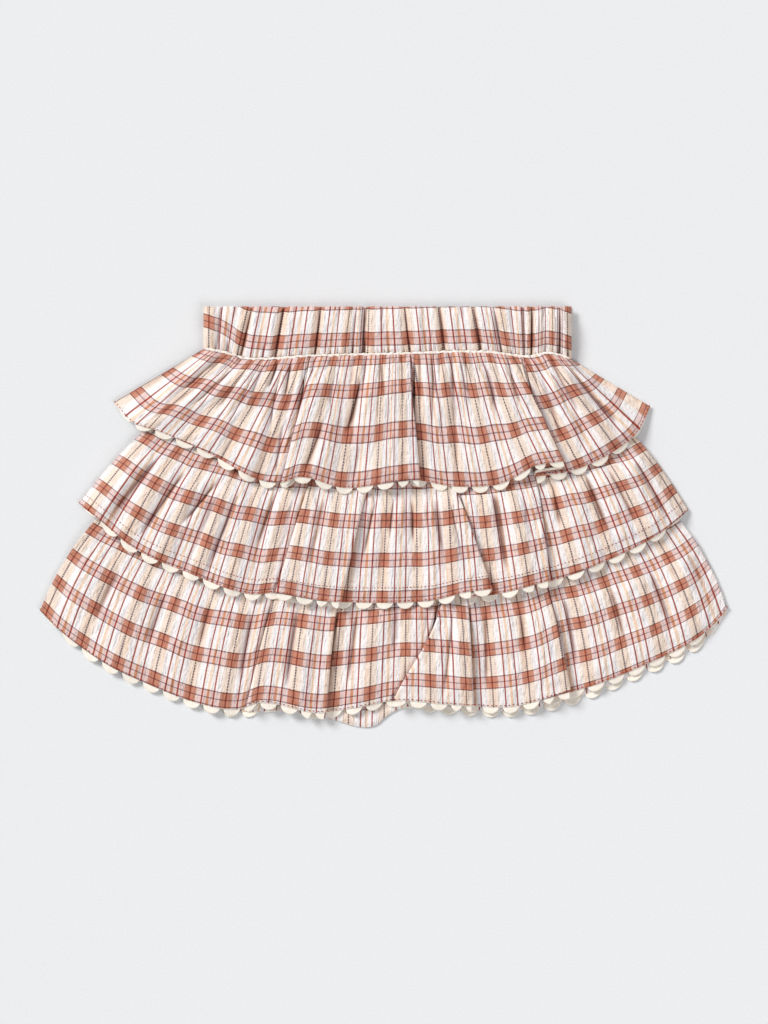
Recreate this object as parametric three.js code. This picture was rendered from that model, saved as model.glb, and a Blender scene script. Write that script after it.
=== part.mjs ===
// Three-tier ruffle skirt for a small child, laid flat on its back.
// Millimetres: +X to the right, +Y towards the waistband, +Z up off the surface.
// The origin is on the surface, at the middle of the outline.
//
// The front and back halves lie on each other. From the surface up, under the first
// ruffle, they are: ruffle 1 back, ruffle 2 back, base back, base front, ruffle 2 front,
// ruffle 1 front. Each ruffle is a fan: straight falls run from its gathered seam to its
// hem, and deep folds lie over to one side as three thicknesses of cloth.

import * as THREE from "three";

const WALL = 1.0;
const SEAM_GAP = 0.3;
const HIDDEN_SEAM_GAP = 0.8;
const PLY = WALL + SEAM_GAP;

// A fold that lies over turns twice, each time round this radius of the wall's middle.
const TURN_RADIUS = 1.1;
const FOLD_HEIGHT = 4 * TURN_RADIUS;
const FOLD_FOOT = 8; // width at the hem that a fold takes before it opens
const FLAP_RUN = 34; // distance over which a raised flap settles again
const ARC_STEPS = 2;
const RUN_STEP = 12; // longest step along a straight run inside a fold

// Height of each layer's underside, from the surface.
const LEVEL = {
  resting: 0,
  baseBack: 2 * PLY,
  baseFront: 3 * PLY,
  ruffle1FrontSeam: 4 * PLY,
  ruffle2Front: 5.4,
  ruffle1Front: 8.0,
};

const WAISTBAND = {
  left: -108.6,
  right: 112.8,
  top: 126.3,
  backThickness: 3.2,
  frontThickness: 3.7,
  edgeThickness: 2.2,
  gathers: 26,
  gatherHeight: 0.9,
  bump: 0.6,
};

const TRIM = {
  pitch: 12,
  gap: 0.5, // from the hem, which turns more coarsely than the trim
  valley: 1.1, // cloth left beyond the hem between two lobes
  lobe: 3.4, // how far a lobe hangs beyond the hem
};

// Points of the seam between the waistband and ruffle 1.
const WAIST_SEAM = [
  { x: -108.6, y: 100.5 },
  { x: -97.2, y: 98.4 },
  { x: -82.8, y: 94.4 },
  { x: -44.4, y: 95.8 },
  { x: 9.6, y: 97.2 },
  { x: 61.8, y: 98.2 },
  { x: 88.2, y: 95.6 },
  { x: 97.8, y: 97.6 },
  { x: 112.8, y: 94.4 },
];

const RUFFLE_2_SEAM = [
  { x: -113.4, y: 77.4 },
  { x: -60, y: 71 },
  { x: 5, y: 68.4 },
  { x: 68, y: 70 },
  { x: 124.2, y: 75 },
];

const RUFFLE_3_SEAM = [
  { x: -146.4, y: 25.2 },
  { x: -78, y: 6 },
  { x: 2.4, y: 0.6 },
  { x: 82, y: 5.4 },
  { x: 153, y: 24 },
];

// Each hem is a row of points from the left tip to the right one, without its trim.
const RUFFLE_1_HEM = [
  { x: -162.6, y: 68.4 },
  { x: -152, y: 57 },
  { x: -136, y: 51.4 },
  { x: -103.2, y: 37 },
  { x: -76, y: 22.4 },
  { x: -61, y: 20.4 },
  { x: -51, y: 23.6 },
  { x: -24, y: 17.2 },
  { x: 8, y: 20.8 },
  { x: 20, y: 21.6 },
  { x: 40, y: 18.2 },
  { x: 66, y: 18.6 },
  { x: 93, y: 24 },
  { x: 113, y: 27.6 },
  { x: 140, y: 40.6 },
  { x: 154, y: 53 },
  { x: 160.2, y: 66 },
];

const RUFFLE_2_HEM = [
  { x: -183.6, y: 7.4 },
  { x: -174, y: 0.4 },
  { x: -150, y: -19 },
  { x: -116, y: -34.4 },
  { x: -81, y: -46.6 },
  { x: -66, y: -46 },
  { x: -37, y: -50.6 },
  { x: 3, y: -51.8 },
  { x: 30, y: -50.6 },
  { x: 62, y: -47.6 },
  { x: 96, y: -40.2 },
  { x: 135, y: -26 },
  { x: 166, y: -9.8 },
  { x: 183, y: 3.6 },
];

const RUFFLE_3_HEM = [
  { x: -207.2, y: -56.8 },
  { x: -196, y: -67.8 },
  { x: -170, y: -87 },
  { x: -137, y: -103.2 },
  { x: -111, y: -112.8 },
  { x: -88, y: -116 },
  { x: -75, y: -112 },
  { x: -40, y: -118 },
  { x: -18, y: -115.4 },
  { x: 8, y: -110.8 },
  { x: 36, y: -112.8 },
  { x: 77, y: -114.4 },
  { x: 111, y: -106.4 },
  { x: 154, y: -90.6 },
  { x: 196, y: -67.6 },
  { x: 206.8, y: -55.6 },
];

// The back hem reaches a little past the front one from the middle to the right. Left of
// the middle a corner of it is turned up inside, and its folded edge shows as a point.
const RUFFLE_3_BACK_HEM = [
  { x: -206.6, y: -56.8 },
  { x: -195, y: -67.4 },
  { x: -169, y: -86.4 },
  { x: -137, y: -102.6 },
  { x: -111, y: -112.6 },
  { x: -88, y: -117.6 },
  { x: -60, y: -117.4 },
  { x: -34, y: -122 },
  { x: -6, y: -126.4 },
  { x: 3, y: -119.4 },
  { x: 12, y: -115.2 },
  { x: 36, y: -115.4 },
  { x: 77, y: -117 },
  { x: 111, y: -110.4 },
  { x: 154, y: -93.6 },
  { x: 197, y: -70.4 },
  { x: 207.4, y: -56.8 },
];

// The stretch of the back hem whose trim is turned up inside, out of sight.
const TURNED_UP = { left: -62, right: 6 };

// Deep folds. edge is where the visible folded edge meets the hem, seam is where its fall
// starts, apex is where the fall would meet the hem unfolded. The flap lies on the +X side
// of its edge (side 1) or on the -X side (side -1). depth is the width of cloth under
// the flap at the hem, start is the share of the fall at which it opens, and rise is how
// far the flap's hem is pulled up there.
const RUFFLE_1_FOLDS = [
  { edge: -61.2, seam: -44, apex: -54, side: 1, depth: 13, start: 0.12, rise: 0 },
  { edge: 21.6, seam: 26, apex: 15, side: -1, depth: 12, start: 0.12, rise: 0 },
  { edge: 107.5, seam: 78, apex: 97, side: -1, depth: 17, start: 0.2, rise: 10 },
];

const RUFFLE_2_FOLDS = [
  { edge: -64.8, seam: -30, apex: -57, side: 1, depth: 14, start: 0.55, rise: 0 },
  { edge: -25.8, seam: 6, apex: -32, side: -1, depth: 10, start: 0.55, rise: 0 },
  { edge: 64.8, seam: 28, apex: 56, side: -1, depth: 15, start: 0.55, rise: 4 },
  { edge: 99, seam: 83, apex: 94, side: -1, depth: 8, start: 0.62, rise: 1 },
];

const RUFFLE_3_FOLDS = [
  { edge: -82.2, seam: -50, apex: -75, side: 1, depth: 12, start: 0.55, rise: 0 },
  { edge: -34.8, seam: -17, apex: -40, side: -1, depth: 14, start: 0.55, rise: 0 },
  { edge: 6, seam: 34, apex: 25, side: 1, depth: 22, start: 0.55, rise: 0 },
  { edge: 53.4, seam: 46, apex: 48, side: -1, depth: 12, start: 0.55, rise: 0 },
  { edge: 112, seam: 82, apex: 104, side: -1, depth: 14, start: 0.55, rise: 1 },
];

// Soft ridges between the deep folds: x at the hem, half width and height there.
const RUFFLE_1_RIDGES = [
  { x: -146, width: 8, height: 1.6 },
  { x: -126, width: 9, height: 2.4 },
  { x: -104, width: 8, height: 1.4 },
  { x: -84, width: 9, height: 2.2 },
  { x: -36, width: 8, height: 1.6 },
  { x: -12, width: 9, height: 2.4 },
  { x: 40, width: 9, height: 1.4 },
  { x: 62, width: 8, height: 1.8 },
  { x: 128, width: 8, height: 1.6 },
  { x: 146, width: 7, height: 1.8 },
];

const RUFFLE_2_RIDGES = [
  { x: -166, width: 8, height: 1.6 },
  { x: -146, width: 9, height: 2.2 },
  { x: -122, width: 9, height: 1.6 },
  { x: -96, width: 10, height: 2.4 },
  { x: -44, width: 7, height: 1.2 },
  { x: 2, width: 9, height: 1.8 },
  { x: 26, width: 9, height: 1.4 },
  { x: 80, width: 7, height: 1.4 },
  { x: 122, width: 10, height: 2.0 },
  { x: 148, width: 9, height: 1.4 },
  { x: 168, width: 8, height: 1.8 },
];

const RUFFLE_3_RIDGES = [
  { x: -188, width: 10, height: 1.2 },
  { x: -160, width: 12, height: 2.0 },
  { x: -128, width: 11, height: 1.4 },
  { x: -102, width: 10, height: 2.2 },
  { x: -58, width: 9, height: 1.6 },
  { x: -14, width: 9, height: 2.0 },
  { x: 74, width: 10, height: 2.0 },
  { x: 130, width: 10, height: 1.8 },
  { x: 158, width: 11, height: 1.4 },
  { x: 184, width: 10, height: 2.2 },
];

const clamp01 = (t) => Math.min(1, Math.max(0, t));
const mix = (a, b, t) => a + (b - a) * t;

function smooth(t) {
  const u = clamp01(t);
  return u * u * (3 - 2 * u);
}

// y as a smooth function of x through a row of points.
function curveThrough(points) {
  const line = new THREE.CubicInterpolant(
    points.map((p) => p.x),
    points.map((p) => p.y),
    1,
    [0],
  );
  return (x) => line.evaluate(x)[0];
}

// The folded section of a hem, as steps along the cloth: x across and z up, from where the
// cloth goes under the flap to where the flap lies on top. It is worked out for a flap on
// the +X side, and turned round for the other side.
function foldSection(fold) {
  const r = TURN_RADIUS;
  const half = FOLD_FOOT / 2;
  const apex = (fold.apex - fold.edge) * fold.side;
  const steps = [];
  const run = (from, to, z) => {
    const count = Math.max(1, Math.ceil(Math.abs(to - from) / RUN_STEP));
    for (let i = 0; i < count; i++) {
      steps.push({ x: mix(from, to, i / count), z });
    }
  };
  const turn = (centreX, centreZ, way) => {
    for (let i = 0; i < ARC_STEPS; i++) {
      const angle = (Math.PI * i) / ARC_STEPS;
      steps.push({
        x: centreX + way * r * Math.sin(angle),
        z: centreZ - r * Math.cos(angle),
      });
    }
  };
  run(apex - half, fold.depth - r, 0);
  turn(fold.depth - r, r, 1);
  run(fold.depth - r, r, 2 * r);
  turn(r, 3 * r, -1);
  run(r, apex + half, 4 * r);
  steps.push({ x: apex + half, z: 4 * r });
  return steps;
}

// The columns of a ruffle, from left to right along the cloth. base is the place at the
// hem if nothing lay over, hem is the folded place, along is the length of cloth so far.
// raised says how far each deep fold lifts the column: in the fold's own section, or in
// the flap beside it, which settles away from its edge.
function columnsOf(ruffle) {
  const columns = [];
  const half = FOLD_FOOT / 2;
  const plain = (from, to, leftFold, rightFold) => {
    const count = Math.max(1, Math.round((to - from) / ruffle.step));
    const settle = Math.min(FLAP_RUN, to - from);
    for (let i = 0; i < count; i++) {
      const x = mix(from, to, i / count);
      const raised = [];
      if (leftFold?.side > 0) {
        raised.push({ fold: leftFold, share: 1 - smooth((x - from) / settle) });
      }
      if (rightFold?.side < 0) {
        raised.push({ fold: rightFold, share: 1 - smooth((to - x) / settle) });
      }
      columns.push({ base: x, hem: x, own: null, raised, height: 0 });
    }
  };
  let reached = ruffle.hem[0].x;
  ruffle.folds.forEach((fold, k) => {
    plain(reached, fold.apex - half, ruffle.folds[k - 1], fold);
    const section = foldSection(fold);
    if (fold.side < 0) section.reverse();
    const last = section.length - 1;
    section.slice(0, last).forEach((point, i) => {
      columns.push({
        base: fold.apex + FOLD_FOOT * (i / last - 0.5),
        hem: fold.edge + fold.side * point.x,
        own: fold,
        raised: [{ fold, share: point.z / FOLD_HEIGHT }],
        height: point.z,
      });
    });
    reached = fold.apex + half;
  });
  const right = ruffle.hem.at(-1).x;
  plain(reached, right, ruffle.folds.at(-1), null);
  columns.push({ base: right, hem: right, own: null, raised: [], height: 0 });
  columns[0].along = 0;
  for (let i = 1; i < columns.length; i++) {
    const before = columns[i - 1];
    const rise = columns[i].own ? columns[i].height - before.height : 0;
    columns[i].along = before.along + Math.hypot(columns[i].hem - before.hem, rise);
  }
  return columns;
}

const clampTo = (x, low, high) => Math.min(high, Math.max(low, x));

// A ruffle's shape, from short tables: a function that gives the middle of its wall for a
// column and a share of the fall, 0 at the seam and 1 at the hem.
function shapeOf(ruffle) {
  const seamY = curveThrough(ruffle.seam);
  const hemY = curveThrough(ruffle.hem);
  const seamLeft = ruffle.seam[0].x;
  const seamRight = ruffle.seam.at(-1).x;
  const hemLeft = ruffle.hem[0].x;
  const hemRight = ruffle.hem.at(-1).x;
  const stops = [
    { base: hemLeft, seam: seamLeft },
    ...ruffle.folds.map((fold) => ({ base: fold.apex, seam: fold.seam })),
    { base: hemRight, seam: seamRight },
  ];
  const seamX = (base) => {
    const next = Math.max(
      1,
      stops.findIndex((stop) => stop.base >= base),
    );
    const [a, b] = [stops[next - 1], stops[next]];
    return mix(a.seam, b.seam, clamp01((base - a.base) / (b.base - a.base)));
  };
  return (column, v) => {
    const { base, own } = column;
    const opened = own ? clamp01((v - own.start) / (1 - own.start)) : 0;
    const hemX = base + (column.hem - base) * opened;
    const fromX = seamX(base);
    const across = (base - hemLeft) / (hemRight - hemLeft);
    const x =
      mix(fromX, hemX, v) +
      ruffle.bulge * (2 * across - 1) * Math.sin(Math.PI * v);
    let y = mix(seamY(fromX), hemY(clampTo(hemX, hemLeft, hemRight)), v);
    const edgeDistance = Math.min(across, 1 - across) * mix(
      seamRight - seamLeft,
      hemRight - hemLeft,
      v,
    );
    let lying = 1;
    for (const { fold, share } of column.raised) {
      lying *= 1 - share * smooth((v - fold.start + 0.1) / 0.25);
      y += fold.rise * share ** 3 * clamp01((v - fold.start) / (1 - fold.start));
    }
    let lift = FOLD_HEIGHT * (1 - lying);
    for (const ridge of ruffle.ridges) {
      const bell = smooth(1 - Math.abs(base - ridge.x) / (2 * ridge.width));
      lift += bell * ridge.height * smooth((v - ruffle.ridgesFrom) / 0.35);
    }
    const wave = Math.cos(
      2 * Math.PI * ruffle.gathers * across + 1.3 * Math.sin(20 * across),
    );
    lift += ruffle.gatherHeight(v) * (0.5 + 0.5 * wave);
    const edge = smooth(edgeDistance / 12);
    const z = ruffle.level(v, edgeDistance) + lift * edge + WALL / 2;
    return new THREE.Vector3(x, y, z);
  };
}

// A layer's underside where a side edge rolls down from its level to the edge's level.
function rolled(level, edgeLevel, distance, roll) {
  return mix(edgeLevel, level, Math.sin((Math.PI / 2) * clamp01(distance / roll)));
}

// A closed solid between two grids of points, the upper over the lower. Both are lists
// of rows, and the rows run from left to right, the first one furthest up the skirt.
function solidBetween(upper, lower) {
  const rows = upper.length;
  const count = upper[0].length;
  const positions = [];
  const indices = [];
  for (const grid of [upper, lower]) {
    for (const row of grid) {
      for (const point of row) positions.push(point.x, point.y, point.z);
    }
  }
  const top = (row, i) => row * count + i;
  const under = (row, i) => rows * count + row * count + i;
  const quad = (a, b, c, d) => indices.push(a, b, c, a, c, d);
  for (let row = 0; row + 1 < rows; row++) {
    for (let i = 0; i + 1 < count; i++) {
      quad(top(row, i), top(row + 1, i), top(row + 1, i + 1), top(row, i + 1));
      quad(under(row, i), under(row, i + 1), under(row + 1, i + 1), under(row + 1, i));
    }
    quad(top(row, 0), under(row, 0), under(row + 1, 0), top(row + 1, 0));
    const end = count - 1;
    quad(top(row + 1, end), under(row + 1, end), under(row, end), top(row, end));
  }
  for (let i = 0; i + 1 < count; i++) {
    quad(top(0, i), top(0, i + 1), under(0, i + 1), under(0, i));
    const last = rows - 1;
    quad(under(last, i), under(last, i + 1), top(last, i + 1), top(last, i));
  }
  const geometry = new THREE.BufferGeometry();
  geometry.setAttribute("position", new THREE.Float32BufferAttribute(positions, 3));
  geometry.setIndex(indices);
  geometry.computeVertexNormals();
  return geometry;
}

// A wall of even thickness round a grid of middle points.
function wallRound(middle, thickness) {
  const rows = middle.length;
  const count = middle[0].length;
  const shifted = (way) =>
    middle.map((row, j) =>
      row.map((point, i) => {
        const alongRow = new THREE.Vector3().subVectors(
          row[Math.min(i + 1, count - 1)],
          row[Math.max(i - 1, 0)],
        );
        const downFall = new THREE.Vector3().subVectors(
          middle[Math.min(j + 1, rows - 1)][i],
          middle[Math.max(j - 1, 0)][i],
        );
        const normal = downFall.cross(alongRow).normalize();
        return point.clone().addScaledVector(normal, (way * thickness) / 2);
      }),
    );
  return solidBetween(shifted(1), shifted(-1));
}

function panel(ruffle) {
  const shape = shapeOf(ruffle);
  const columns = columnsOf(ruffle);
  return wallRound(
    ruffle.rows.map((v) => columns.map((column) => shape(column, v))),
    WALL,
  );
}

// The scalloped trim beyond a hem: each lobe has its two valleys and two shoulders, and
// the strip follows the folds of the hem. It may cover only a stretch, by x at the hem.
function trim(ruffle, leftX = -Infinity, rightX = Infinity) {
  const shape = shapeOf(ruffle);
  const columns = columnsOf(ruffle);
  const edge = columns.map((column) => {
    const hem = shape(column, 1);
    const above = shape(column, 0.97);
    const out = new THREE.Vector3(hem.x - above.x, hem.y - above.y, 0).normalize();
    return { along: column.along, hem, out };
  });
  const covered = columns.filter(({ hem }) => hem >= leftX && hem <= rightX);
  const start = covered[0].along;
  const end = covered.at(-1).along;
  const lobes = Math.round((end - start) / TRIM.pitch);
  const pitch = (end - start) / lobes;
  const folded = covered.filter((column) => column.own).map(({ along }) => along);
  const stations = [start, end, ...folded];
  for (let i = 0; i < lobes; i++) {
    for (const share of [0, 0.28, 0.72]) {
      const at = start + (i + share) * pitch;
      if (stations.every((along) => Math.abs(along - at) > 0.7)) stations.push(at);
    }
  }
  stations.sort((a, b) => a - b);
  const beyond = (along, distance) => {
    const next = Math.max(
      1,
      edge.findIndex((point) => point.along >= along),
    );
    const [a, b] = [edge[next - 1], edge[next]];
    const share = clamp01((along - a.along) / (b.along - a.along));
    const out = a.out.clone().lerp(b.out, share).normalize();
    return a.hem.clone().lerp(b.hem, share).addScaledVector(out, distance);
  };
  const reach = (along) => {
    const phase = ((along - start) / pitch) % 1;
    return mix(TRIM.valley, TRIM.lobe, Math.sin(Math.PI * phase) ** 0.6);
  };
  return wallRound(
    [
      stations.map((along) => beyond(along, TRIM.gap)),
      stations.map((along) => beyond(along, reach(along))),
    ],
    WALL,
  );
}

// Half of the waistband: a flat casing, thinner along both edges, drawn up in gathers.
function waistbandHalf(bottom, thickness, steps) {
  const seam = curveThrough(WAIST_SEAM);
  const shares = [0, 0.2, 0.8, 1];
  const crown = (share) => Math.sin(Math.PI * share) ** 0.5;
  const place = (share, i) => {
    const across = i / steps;
    const x = mix(WAISTBAND.left, WAISTBAND.right, across);
    const wave = Math.cos(
      2 * Math.PI * WAISTBAND.gathers * across + 1.1 * Math.sin(17 * across),
    );
    const top = WAISTBAND.top + WAISTBAND.bump * (wave - 1) * 0.5;
    const low = seam(x) + SEAM_GAP;
    return { x, y: mix(top, low, share), wave };
  };
  const columns = Array.from({ length: steps + 1 }, (_, i) => i);
  const upper = shares.map((share) =>
    columns.map((i) => {
      const { x, y, wave } = place(share, i);
      const full = mix(WAISTBAND.edgeThickness, thickness, crown(share));
      const gather = WAISTBAND.gatherHeight * (0.5 * wave - 0.5) * crown(share);
      return new THREE.Vector3(x, y, bottom + full + gather);
    }),
  );
  const lower = shares.map((share) =>
    columns.map((i) => {
      const { x, y } = place(share, i);
      return new THREE.Vector3(x, y, bottom);
    }),
  );
  return solidBetween(upper, lower);
}

const FRONT_ROWS = [0, 0.12, 0.3, 0.5, 0.75, 1];
const COVERED_ROWS = [0, 0.3, 0.52, 0.66, 0.83, 1];
const BACK_ROWS = [0, 0.15, 0.5, 0.62, 1];

const ruffle2BackLevel = (v) => mix(PLY, 0, smooth((v - 0.5) / 0.12));
const ruffle3BackLevel = (v) =>
  PLY * (1 - smooth(v / 0.15)) + mix(PLY, 0, smooth((v - 0.5) / 0.12));

const RUFFLE_1_FRONT = {
  seam: WAIST_SEAM.map(({ x, y }) => ({ x, y: y - SEAM_GAP })),
  hem: RUFFLE_1_HEM,
  folds: RUFFLE_1_FOLDS,
  ridges: RUFFLE_1_RIDGES,
  ridgesFrom: 0.25,
  bulge: 0,
  gathers: 28,
  gatherHeight: (v) => 1.1 * (1 - smooth((v - 0.1) / 0.6)),
  step: 4.2,
  rows: FRONT_ROWS,
  level: (v, distance) =>
    rolled(
      mix(LEVEL.ruffle1FrontSeam, LEVEL.ruffle1Front, smooth(v / 0.3)),
      PLY,
      distance,
      4 + 20 * smooth(v / 0.3),
    ),
};

const RUFFLE_2_FRONT = {
  seam: RUFFLE_2_SEAM,
  hem: RUFFLE_2_HEM,
  folds: RUFFLE_2_FOLDS,
  ridges: RUFFLE_2_RIDGES,
  ridgesFrom: 0.5,
  bulge: 5,
  gathers: 22,
  gatherHeight: (v) => 1.1 * smooth(v / 0.3) * (1 - smooth((v - 0.5) / 0.5)),
  step: 6.5,
  rows: COVERED_ROWS,
  level: (v, distance) =>
    rolled(LEVEL.ruffle2Front, ruffle2BackLevel(v) + PLY, distance, 9),
};

const RUFFLE_3_FRONT = {
  seam: RUFFLE_3_SEAM,
  hem: RUFFLE_3_HEM,
  folds: RUFFLE_3_FOLDS,
  ridges: RUFFLE_3_RIDGES,
  ridgesFrom: 0.5,
  bulge: 8,
  gathers: 20,
  gatherHeight: (v) =>
    1.1 * smooth((v - 0.12) / 0.2) * (1 - smooth((v - 0.5) / 0.5)),
  step: 8,
  rows: COVERED_ROWS,
  level: (v) => ruffle3BackLevel(v) + PLY,
};

// A back ruffle lies flat, with the outline of its front.
const backOf = (front, hem, step, level) => ({
  ...front,
  seam: front.seam.map(({ x, y }) => ({ x, y: y + SEAM_GAP - HIDDEN_SEAM_GAP })),
  hem,
  folds: [],
  ridges: [],
  gatherHeight: () => 0,
  step,
  rows: BACK_ROWS,
  level,
});

const RUFFLE_1_BACK = backOf(RUFFLE_1_FRONT, RUFFLE_1_HEM, 14, () => LEVEL.resting);
const RUFFLE_2_BACK = backOf(RUFFLE_2_FRONT, RUFFLE_2_HEM, 14, ruffle2BackLevel);
const RUFFLE_3_BACK = backOf(RUFFLE_3_FRONT, RUFFLE_3_BACK_HEM, 7, ruffle3BackLevel);

// Points along the middle stretch of a curve, moved along Y.
function narrowed(points, share, shift) {
  const line = curveThrough(points);
  return points.map(({ x }) => ({ x: x * share, y: line(x * share) + shift }));
}

// The plain base that ruffles 2 and 3 are sewn to, hidden under them.
const baseHalf = (level) => ({
  seam: narrowed(WAIST_SEAM, 0.96, -HIDDEN_SEAM_GAP),
  hem: narrowed(RUFFLE_3_SEAM, 0.98, SEAM_GAP),
  folds: [],
  ridges: [],
  ridgesFrom: 0,
  bulge: -15,
  gathers: 0,
  gatherHeight: () => 0,
  step: 20,
  rows: [0, 0.5, 1],
  level: () => level,
});

const cloth = () =>
  new THREE.MeshStandardMaterial({ color: 0xe9d3c2, roughness: 0.9, metalness: 0 });
const tape = () =>
  new THREE.MeshStandardMaterial({ color: 0xf4ecdc, roughness: 0.85, metalness: 0 });

const skirt = new THREE.Group();

function add(name, geometry, material) {
  const mesh = new THREE.Mesh(geometry, material);
  mesh.name = name;
  skirt.add(mesh);
}

add("waistband_back", waistbandHalf(0, WAISTBAND.backThickness, 26), cloth());
add(
  "waistband_front",
  waistbandHalf(WAISTBAND.backThickness + SEAM_GAP, WAISTBAND.frontThickness, 84),
  cloth(),
);
add("base_back", panel(baseHalf(LEVEL.baseBack)), cloth());
add("base_front", panel(baseHalf(LEVEL.baseFront)), cloth());

const RUFFLES = {
  ruffle_1_back: RUFFLE_1_BACK,
  ruffle_2_back: RUFFLE_2_BACK,
  ruffle_3_back: RUFFLE_3_BACK,
  ruffle_1_front: RUFFLE_1_FRONT,
  ruffle_2_front: RUFFLE_2_FRONT,
  ruffle_3_front: RUFFLE_3_FRONT,
};

for (const [name, ruffle] of Object.entries(RUFFLES)) {
  add(name, panel(ruffle), cloth());
  const trimName = name.replace("ruffle", "trim");
  if (ruffle === RUFFLE_3_BACK) {
    add(`${trimName}_left`, trim(ruffle, -Infinity, TURNED_UP.left), tape());
    add(`${trimName}_right`, trim(ruffle, TURNED_UP.right, Infinity), tape());
  } else {
    add(trimName, trim(ruffle), tape());
  }
}

export default skirt;
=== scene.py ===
# %% [markdown]
# # A tiered ruffle skirt, laid flat
#
# The real skirt is sewn from thin yarn-dyed cotton: a gathered casing over elastic, three
# gathered ruffles, and a cream scalloped tape under each hem. It lies on its back, so the
# camera looks straight down at it.
#
# The frame holds a plain solid for each piece. Here each one gets its fine form as a thin
# shell of cloth on the same sizes, and then its weave, tape and stitches. All sizes of the
# skirt are in millimetres, and only the last step of each mesh turns them to metres.

# %% The frame
import math
from collections import namedtuple

import bpy
import numpy as np
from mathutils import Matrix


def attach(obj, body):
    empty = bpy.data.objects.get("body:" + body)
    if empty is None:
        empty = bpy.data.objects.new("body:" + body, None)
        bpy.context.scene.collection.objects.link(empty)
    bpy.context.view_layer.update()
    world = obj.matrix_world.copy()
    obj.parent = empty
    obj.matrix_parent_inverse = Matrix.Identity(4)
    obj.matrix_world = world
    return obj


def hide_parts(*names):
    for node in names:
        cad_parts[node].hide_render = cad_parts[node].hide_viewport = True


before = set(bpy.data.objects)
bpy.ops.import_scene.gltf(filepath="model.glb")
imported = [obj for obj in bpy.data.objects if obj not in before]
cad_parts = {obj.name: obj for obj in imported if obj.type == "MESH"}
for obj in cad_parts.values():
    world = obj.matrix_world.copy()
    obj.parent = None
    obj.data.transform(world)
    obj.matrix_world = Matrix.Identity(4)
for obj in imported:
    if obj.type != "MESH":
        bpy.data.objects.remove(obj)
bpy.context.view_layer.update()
MM = 0.001
print("pieces in the frame:", len(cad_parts))

# %% [markdown]
# ## Curves and easing
#
# A seam or a hem is a short row of points with a smooth curve through them. Each point's
# slope is the mean of the slopes to its two neighbours, which is how the solids' outlines
# run too, so the shells follow them.
#
# A real hem eases in and out of its bends, so steps between two heights do the same.

# %% Small functions for curves


def smooth(t):
    """Eases from 0 to 1, and stays there."""
    u = np.clip(t, 0, 1)
    return u * u * (3 - 2 * u)


def mix(a, b, t):
    return a + (b - a) * t


def curve_through(points):
    xs, ys = np.array(points, dtype=float).T
    secants = np.diff(ys) / np.diff(xs)
    slopes = np.concatenate(([secants[0]], (secants[1:] + secants[:-1]) / 2, [secants[-1]]))

    def curve(x):
        x = np.clip(x, xs[0], xs[-1])
        i = np.clip(np.searchsorted(xs, x, side="right") - 1, 0, len(xs) - 2)
        width = xs[i + 1] - xs[i]
        t = (x - xs[i]) / width
        start = (1 + 2 * t) * (1 - t) ** 2 * ys[i] + t * (1 - t) ** 2 * width * slopes[i]
        end = t * t * (3 - 2 * t) * ys[i + 1] + t * t * (t - 1) * width * slopes[i + 1]
        return start + end

    return curve


print("half way through an ease:", smooth(0.5))

# %% Cloth sizes
WALL = 1.0  # the solids' wall
CLOTH = 0.5  # the shell that shows
CLOTH_SHIFT = 0.2  # it lies this far above the middle of the solids' wall
TAPE = 0.5
TAPE_SHIFT = -0.32  # the tape lies under the cloth

PLY = 1.3  # from the underside of one layer of cloth to that of the next
TURN_RADIUS = 1.1  # of a fold that lies over
FOLD_HEIGHT = 4 * TURN_RADIUS
FOLD_FOOT = 8  # width at the hem that a fold takes before it opens
FLAP_RUN = 34  # distance over which a raised flap settles again
PRESSED_FLAT = 0.34  # share of a fold's height where the ruffle above presses on it
HEM_TURN = 0.3  # the hem is turned up, so it lies a little higher
HEM_DEPTH = 3.4
SEAM_GAP = 0.3
HIDDEN_SEAM_GAP = 0.8

RUFFLE_1_LEVEL = 8.0  # heights of the undersides above the table
RUFFLE_1_SEAM_LEVEL = 5.2
RUFFLE_2_LEVEL = 5.4
print("cloth", CLOTH, "mm thick on walls of", WALL, "mm")

# %% [markdown]
# ## The cut and the deep folds
#
# A ruffle is a straight strip, gathered along its top edge. Laid flat it opens like a fan:
# each thread of the warp runs nearly straight from the seam to the hem. The tables give the
# outline and, for each deep fold, the place where its folded edge meets the hem.

# %% Seams and hems, as points x, y
WAIST_SEAM = [
    (-108.6, 100.5), (-97.2, 98.4), (-82.8, 94.4), (-44.4, 95.8), (9.6, 97.2),
    (61.8, 98.2), (88.2, 95.6), (97.8, 97.6), (112.8, 94.4),
]
RUFFLE_2_SEAM = [(-113.4, 77.4), (-60, 71), (5, 68.4), (68, 70), (124.2, 75)]
RUFFLE_3_SEAM = [(-146.4, 25.2), (-78, 6), (2.4, 0.6), (82, 5.4), (153, 24)]

RUFFLE_1_HEM = [
    (-162.6, 68.4), (-152, 57), (-136, 51.4), (-103.2, 37), (-76, 22.4), (-61, 20.4),
    (-51, 23.6), (-24, 17.2), (8, 20.8), (20, 21.6), (40, 18.2), (66, 18.6), (93, 24),
    (113, 27.6), (140, 40.6), (154, 53), (160.2, 66),
]
RUFFLE_2_HEM = [
    (-183.6, 7.4), (-174, 0.4), (-150, -19), (-116, -34.4), (-81, -46.6), (-66, -46),
    (-37, -50.6), (3, -51.8), (30, -50.6), (62, -47.6), (96, -40.2), (135, -26),
    (166, -9.8), (183, 3.6),
]
RUFFLE_3_HEM = [
    (-207.2, -56.8), (-196, -67.8), (-170, -87), (-137, -103.2), (-111, -112.8),
    (-88, -116), (-75, -112), (-40, -118), (-18, -115.4), (8, -110.8), (36, -112.8),
    (77, -114.4), (111, -106.4), (154, -90.6), (196, -67.6), (206.8, -55.6),
]
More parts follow.
